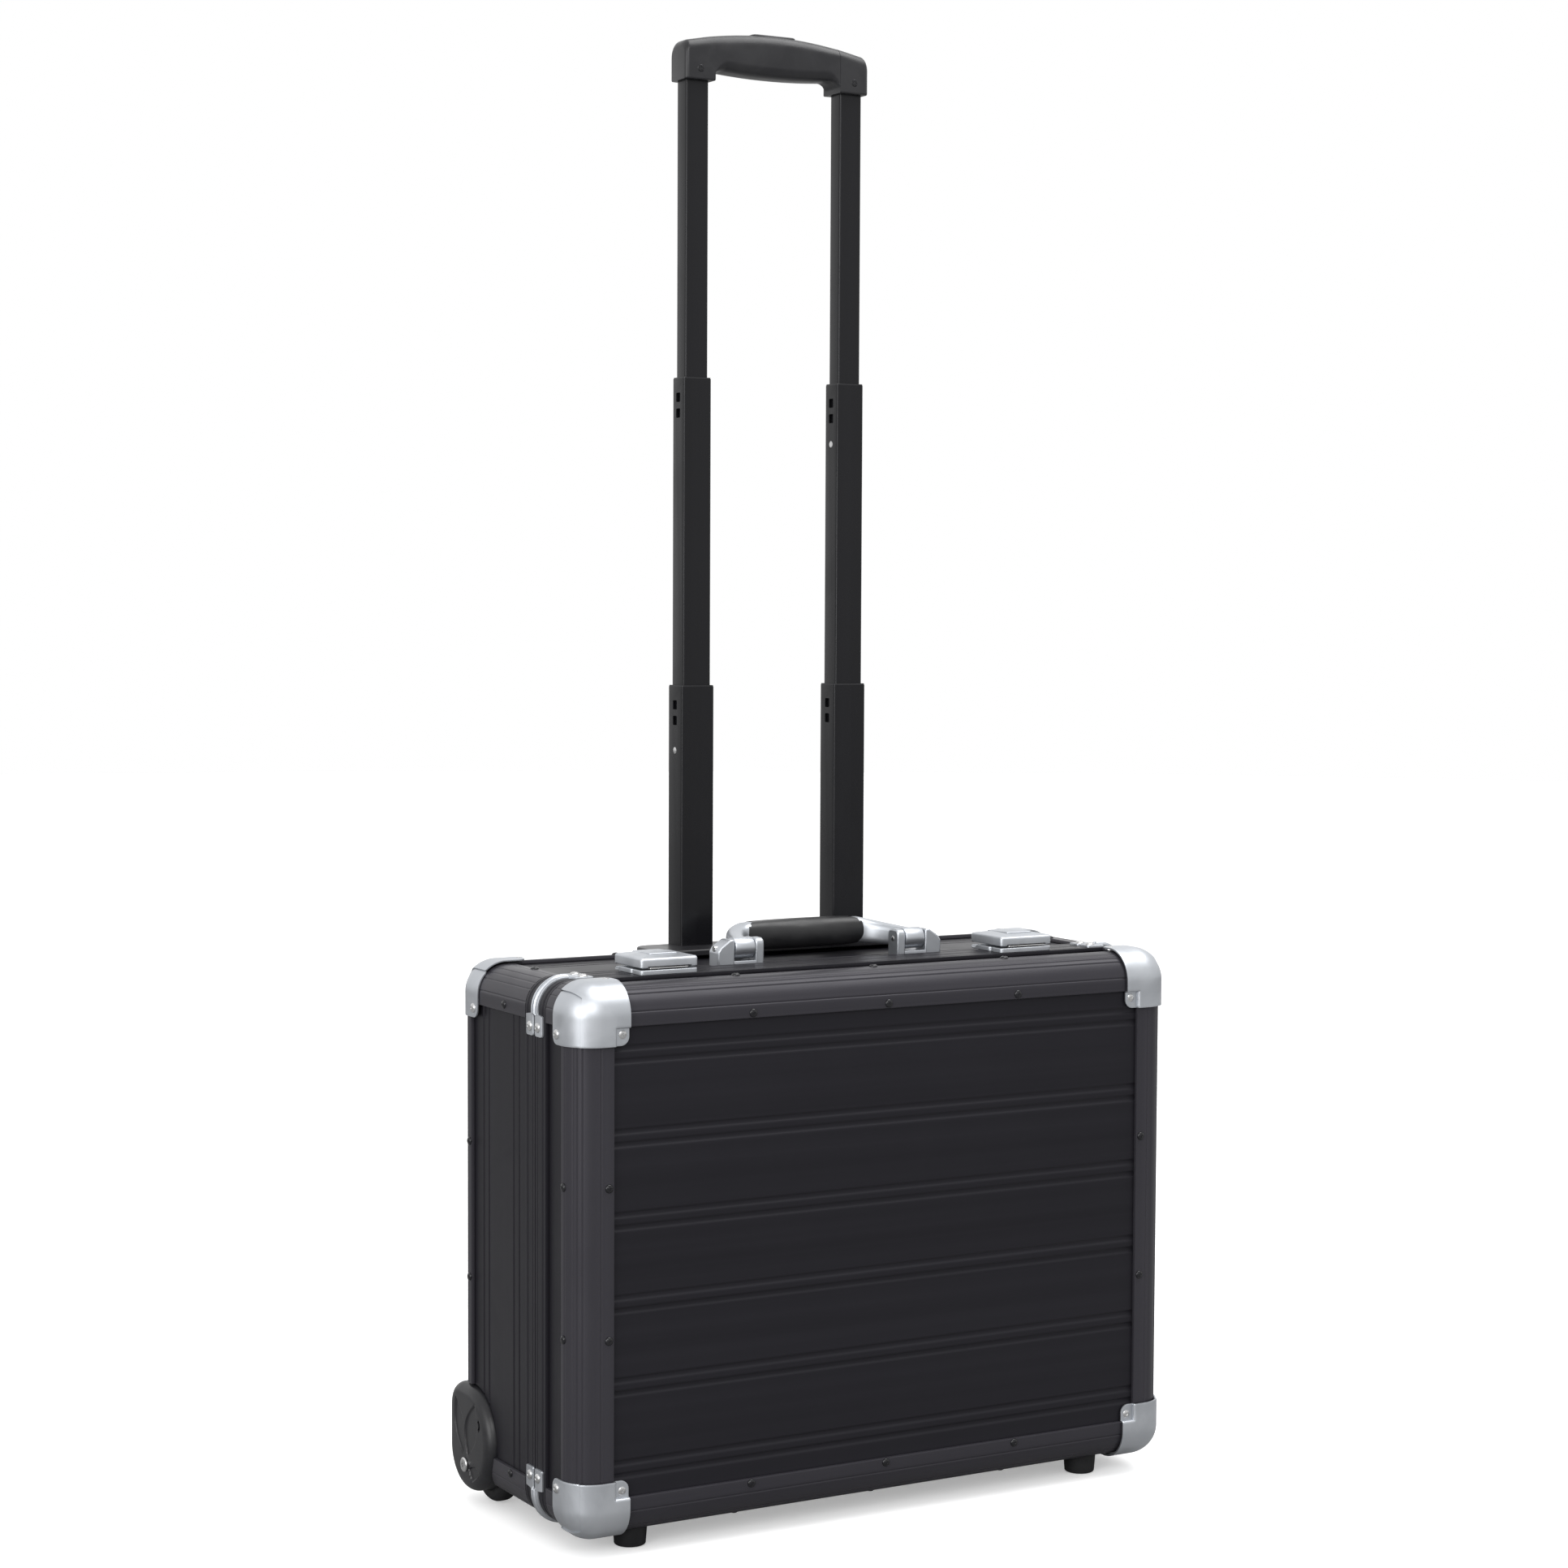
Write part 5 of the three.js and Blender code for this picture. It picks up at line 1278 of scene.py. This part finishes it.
# %% Button and screws
button = soft_block(button_a[0], button_b[0], button_a[1], button_b[1], button_a[2],
                    lambda x, y: GRIP_TOP + 1.0 - ARCH * (x / GRIP_HALF) ** 2, 4.0, 1.2)
stand_in("release_button", button, PLASTIC, "button", "black_plastic", 40)
screw_x = (inside("upper_tube_left")[0][0] + inside("upper_tube_left")[1][0]) / 2
for side, x in (("left", screw_x), ("right", -screw_x)):
    y, z = GRIP_Y - 12.0, LEG_FOOT + 7.5
    head = turned([[0.3, 0.25], [2.2, 0.2], [2.8, -0.1], [3.0, -0.7]], (x, y, z), [0, -1, 0], 32)
    arms = [tool(carried(rounded_rectangle(x - u, x + u, z - v, z + v, 0.3, 2), "y", [y - 2, y + 0.4]))
            for u, v in ((1.7, 0.42), (0.42, 1.7))]
    finished(carve(mesh_object(f"grip_screw_{side}", head, STUD, 40), *arms), "trolley_upper", "steel")
print("trolley")

# %% [markdown]
# ## Linings
# Each half is lined with a tray of board covered in cloth. The tray is one skin: out along the wall
# on the outside, over the edge, back along the inside, and across the floor.

# %% Linings
LINING_INSET, LINING_WALL = 7.8, 1.2


def tray(lip, floor):
    """A tray with its wall along the case's outline: loops go up the inside of the wall from the
    floor, over the lip and down the outside, and both floors are closed."""
    way = np.sign(floor - lip)
    outer = round_case([(lip, LINING_INSET), (floor, LINING_INSET)])
    inner_face = LINING_INSET + LINING_WALL
    inner = round_case([(lip, inner_face), (floor - way * LINING_WALL, inner_face)])
    return np.array([inner[:, 1], inner[:, 0], outer[:, 0], outer[:, 1]])


low, high = inside("lid_lining")
stand_in("lid_lining", tray(high[1], low[1]), LINING, "lid", "lining_fabric", 30)
low, high = inside("rear_lining")
stand_in("rear_lining", tray(low[1], high[1]), LINING, "rear_half", "lining_fabric", 30, wells)

# %% [markdown]
# ## What stays from the frame
# The hinge leaves and the trolley's carrier are already right as measured, so they keep their own
# meshes and only get a finish.

# %% Finishes for the kept nodes
for name, material in (("hinge_leaf_lid", STEEL), ("hinge_leaf_rear", STEEL), ("trolley_carrier", BLACK["z"])):
    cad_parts[name].data.materials.clear()
    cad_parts[name].data.materials.append(material)
for made in TOOLS:
    bpy.data.objects.remove(made, do_unlink=True)
print(len(MADE), "pieces made")

# %% [markdown]
# ## Floor, light and camera
# A pale floor and a bright surround, as in a studio tent, a little brighter above and behind. Four
# large soft lights add shape: one at the left, one at the front left, one above, and a low one at the
# left that draws the long edges. The camera stands left of the case's front, a little above it. The
# camera sees the floor and the surround almost white, while the case sees a darker floor, so that
# its black sides stay black.

# %% Stage
def by_camera(tree, others, camera, output):
    """The output shows one shader to the camera's rays and another to all other rays."""
    choose, path = tree.nodes.new("ShaderNodeMixShader"), tree.nodes.new("ShaderNodeLightPath")
    wire(tree, (path, "Is Camera Ray", choose, "Fac"), (others, 0, choose, 1), (camera, 0, choose, 2),
         (choose, "Shader", tree.nodes[output], "Surface"))


def studio_floor():
    """A large ring of floor under the case."""
    loops = turned([[60, 0], [9000, 0], [9000, -1], [60, -1]], (0, 96, -0.4), [0, 0, 1], 64)
    material, tree, shader, coords = new_material("studio floor")
    shader.inputs["Roughness"].default_value = 0.8
    shader.inputs["Emission Color"].default_value = (1, 1, 1, 1)
    shader.inputs["Emission Strength"].default_value = 0.34
    noise = node(tree, "ShaderNodeTexNoise", Scale=3.0, Detail=2.0)
    two_shades(tree, shader, noise, "Fac", (0.86, 0.86, 0.86), (0.88, 0.88, 0.88))
    dim = node(tree, "ShaderNodeBsdfDiffuse", Color=(0.30, 0.30, 0.30, 1))
    by_camera(tree, dim, shader, "Material Output")
    mesh_object("floor", loops, material)


studio_floor()
bpy.context.scene.view_settings.view_transform = "Standard"
world = bpy.data.worlds.new("studio")
bpy.context.scene.world = world
world.use_nodes = True
tree = world.node_tree
toward = node(tree, "ShaderNodeVectorMath", operation="DOT_PRODUCT")
toward.inputs[1].default_value = (0.0, 0.60, 0.80)
fade = node(tree, "ShaderNodeMapRange", interpolation_type="SMOOTHSTEP",
            From_Min=0.0, From_Max=1.0, To_Min=0.88, To_Max=1.08)
sky, seen = tree.nodes["Background"], tree.nodes.new("ShaderNodeBackground")
sky.inputs["Color"].default_value = seen.inputs["Color"].default_value = (1, 1, 1, 1)
wire(tree, (tree.nodes.new("ShaderNodeTexCoord"), "Generated", toward, 0), (toward, "Value", fade, "Value"),
     (fade, "Result", sky, "Strength"))
by_camera(tree, sky, seen, "World Output")


def facing(right, up, back, position):
    """The matrix of an object at a position whose x, y and z axes are right, up and back."""
    return Matrix(np.vstack([np.column_stack([right, up, back, position]), [0, 0, 0, 1]]).tolist())


def area_light(name, position, target, size, power):
    """A square soft light of that size in metres, at position, facing the target."""
    data = bpy.data.lights.new(name, "AREA")
    data.shape = "SQUARE"
    data.size = size
    data.energy = power
    lamp = bpy.data.objects.new(name, data)
    away = np.array(position, float) - np.array(target, float)
    away /= np.linalg.norm(away)
    right = np.cross([0, 0, 1], away)
    right /= np.linalg.norm(right)
    lamp.matrix_world = facing(right, np.cross(away, right), away, position)
    bpy.context.scene.collection.objects.link(lamp)


area_light("left", (-3.2, -0.9, 1.8), (0, 0, 0.3), 2.4, 16)
area_light("front left", (-1.4, -3.4, 2.4), (0, 0, 0.3), 1.8, 44)
area_light("above", (0.9, -0.4, 3.0), (0, 0, 0.4), 2.2, 60)
area_light("edge", (-2.7, -1.55, 0.9), (0, 0, 0.4), 1.5, 32)

# %% Camera
YAW, PITCH, ROLL = math.radians(29.875), math.radians(3.420), math.radians(0.2653)
forward = np.array([math.sin(YAW) * math.cos(PITCH), math.cos(YAW) * math.cos(PITCH), -math.sin(PITCH)])
level_right = np.array([math.cos(YAW), -math.sin(YAW), 0.0])
level_up = np.cross(level_right, forward)
right = level_right * math.cos(ROLL) + level_up * math.sin(ROLL)
upward = -level_right * math.sin(ROLL) + level_up * math.cos(ROLL)
view = bpy.data.objects.new("camera", bpy.data.cameras.new("camera"))
view.data.lens = 72.86
view.data.sensor_width = 36.0
view.data.clip_end = 50
view.matrix_world = facing(right, upward, -forward, (-1.12347, -1.90832, 0.62697))
bpy.context.scene.collection.objects.link(view)
bpy.context.scene.camera = view
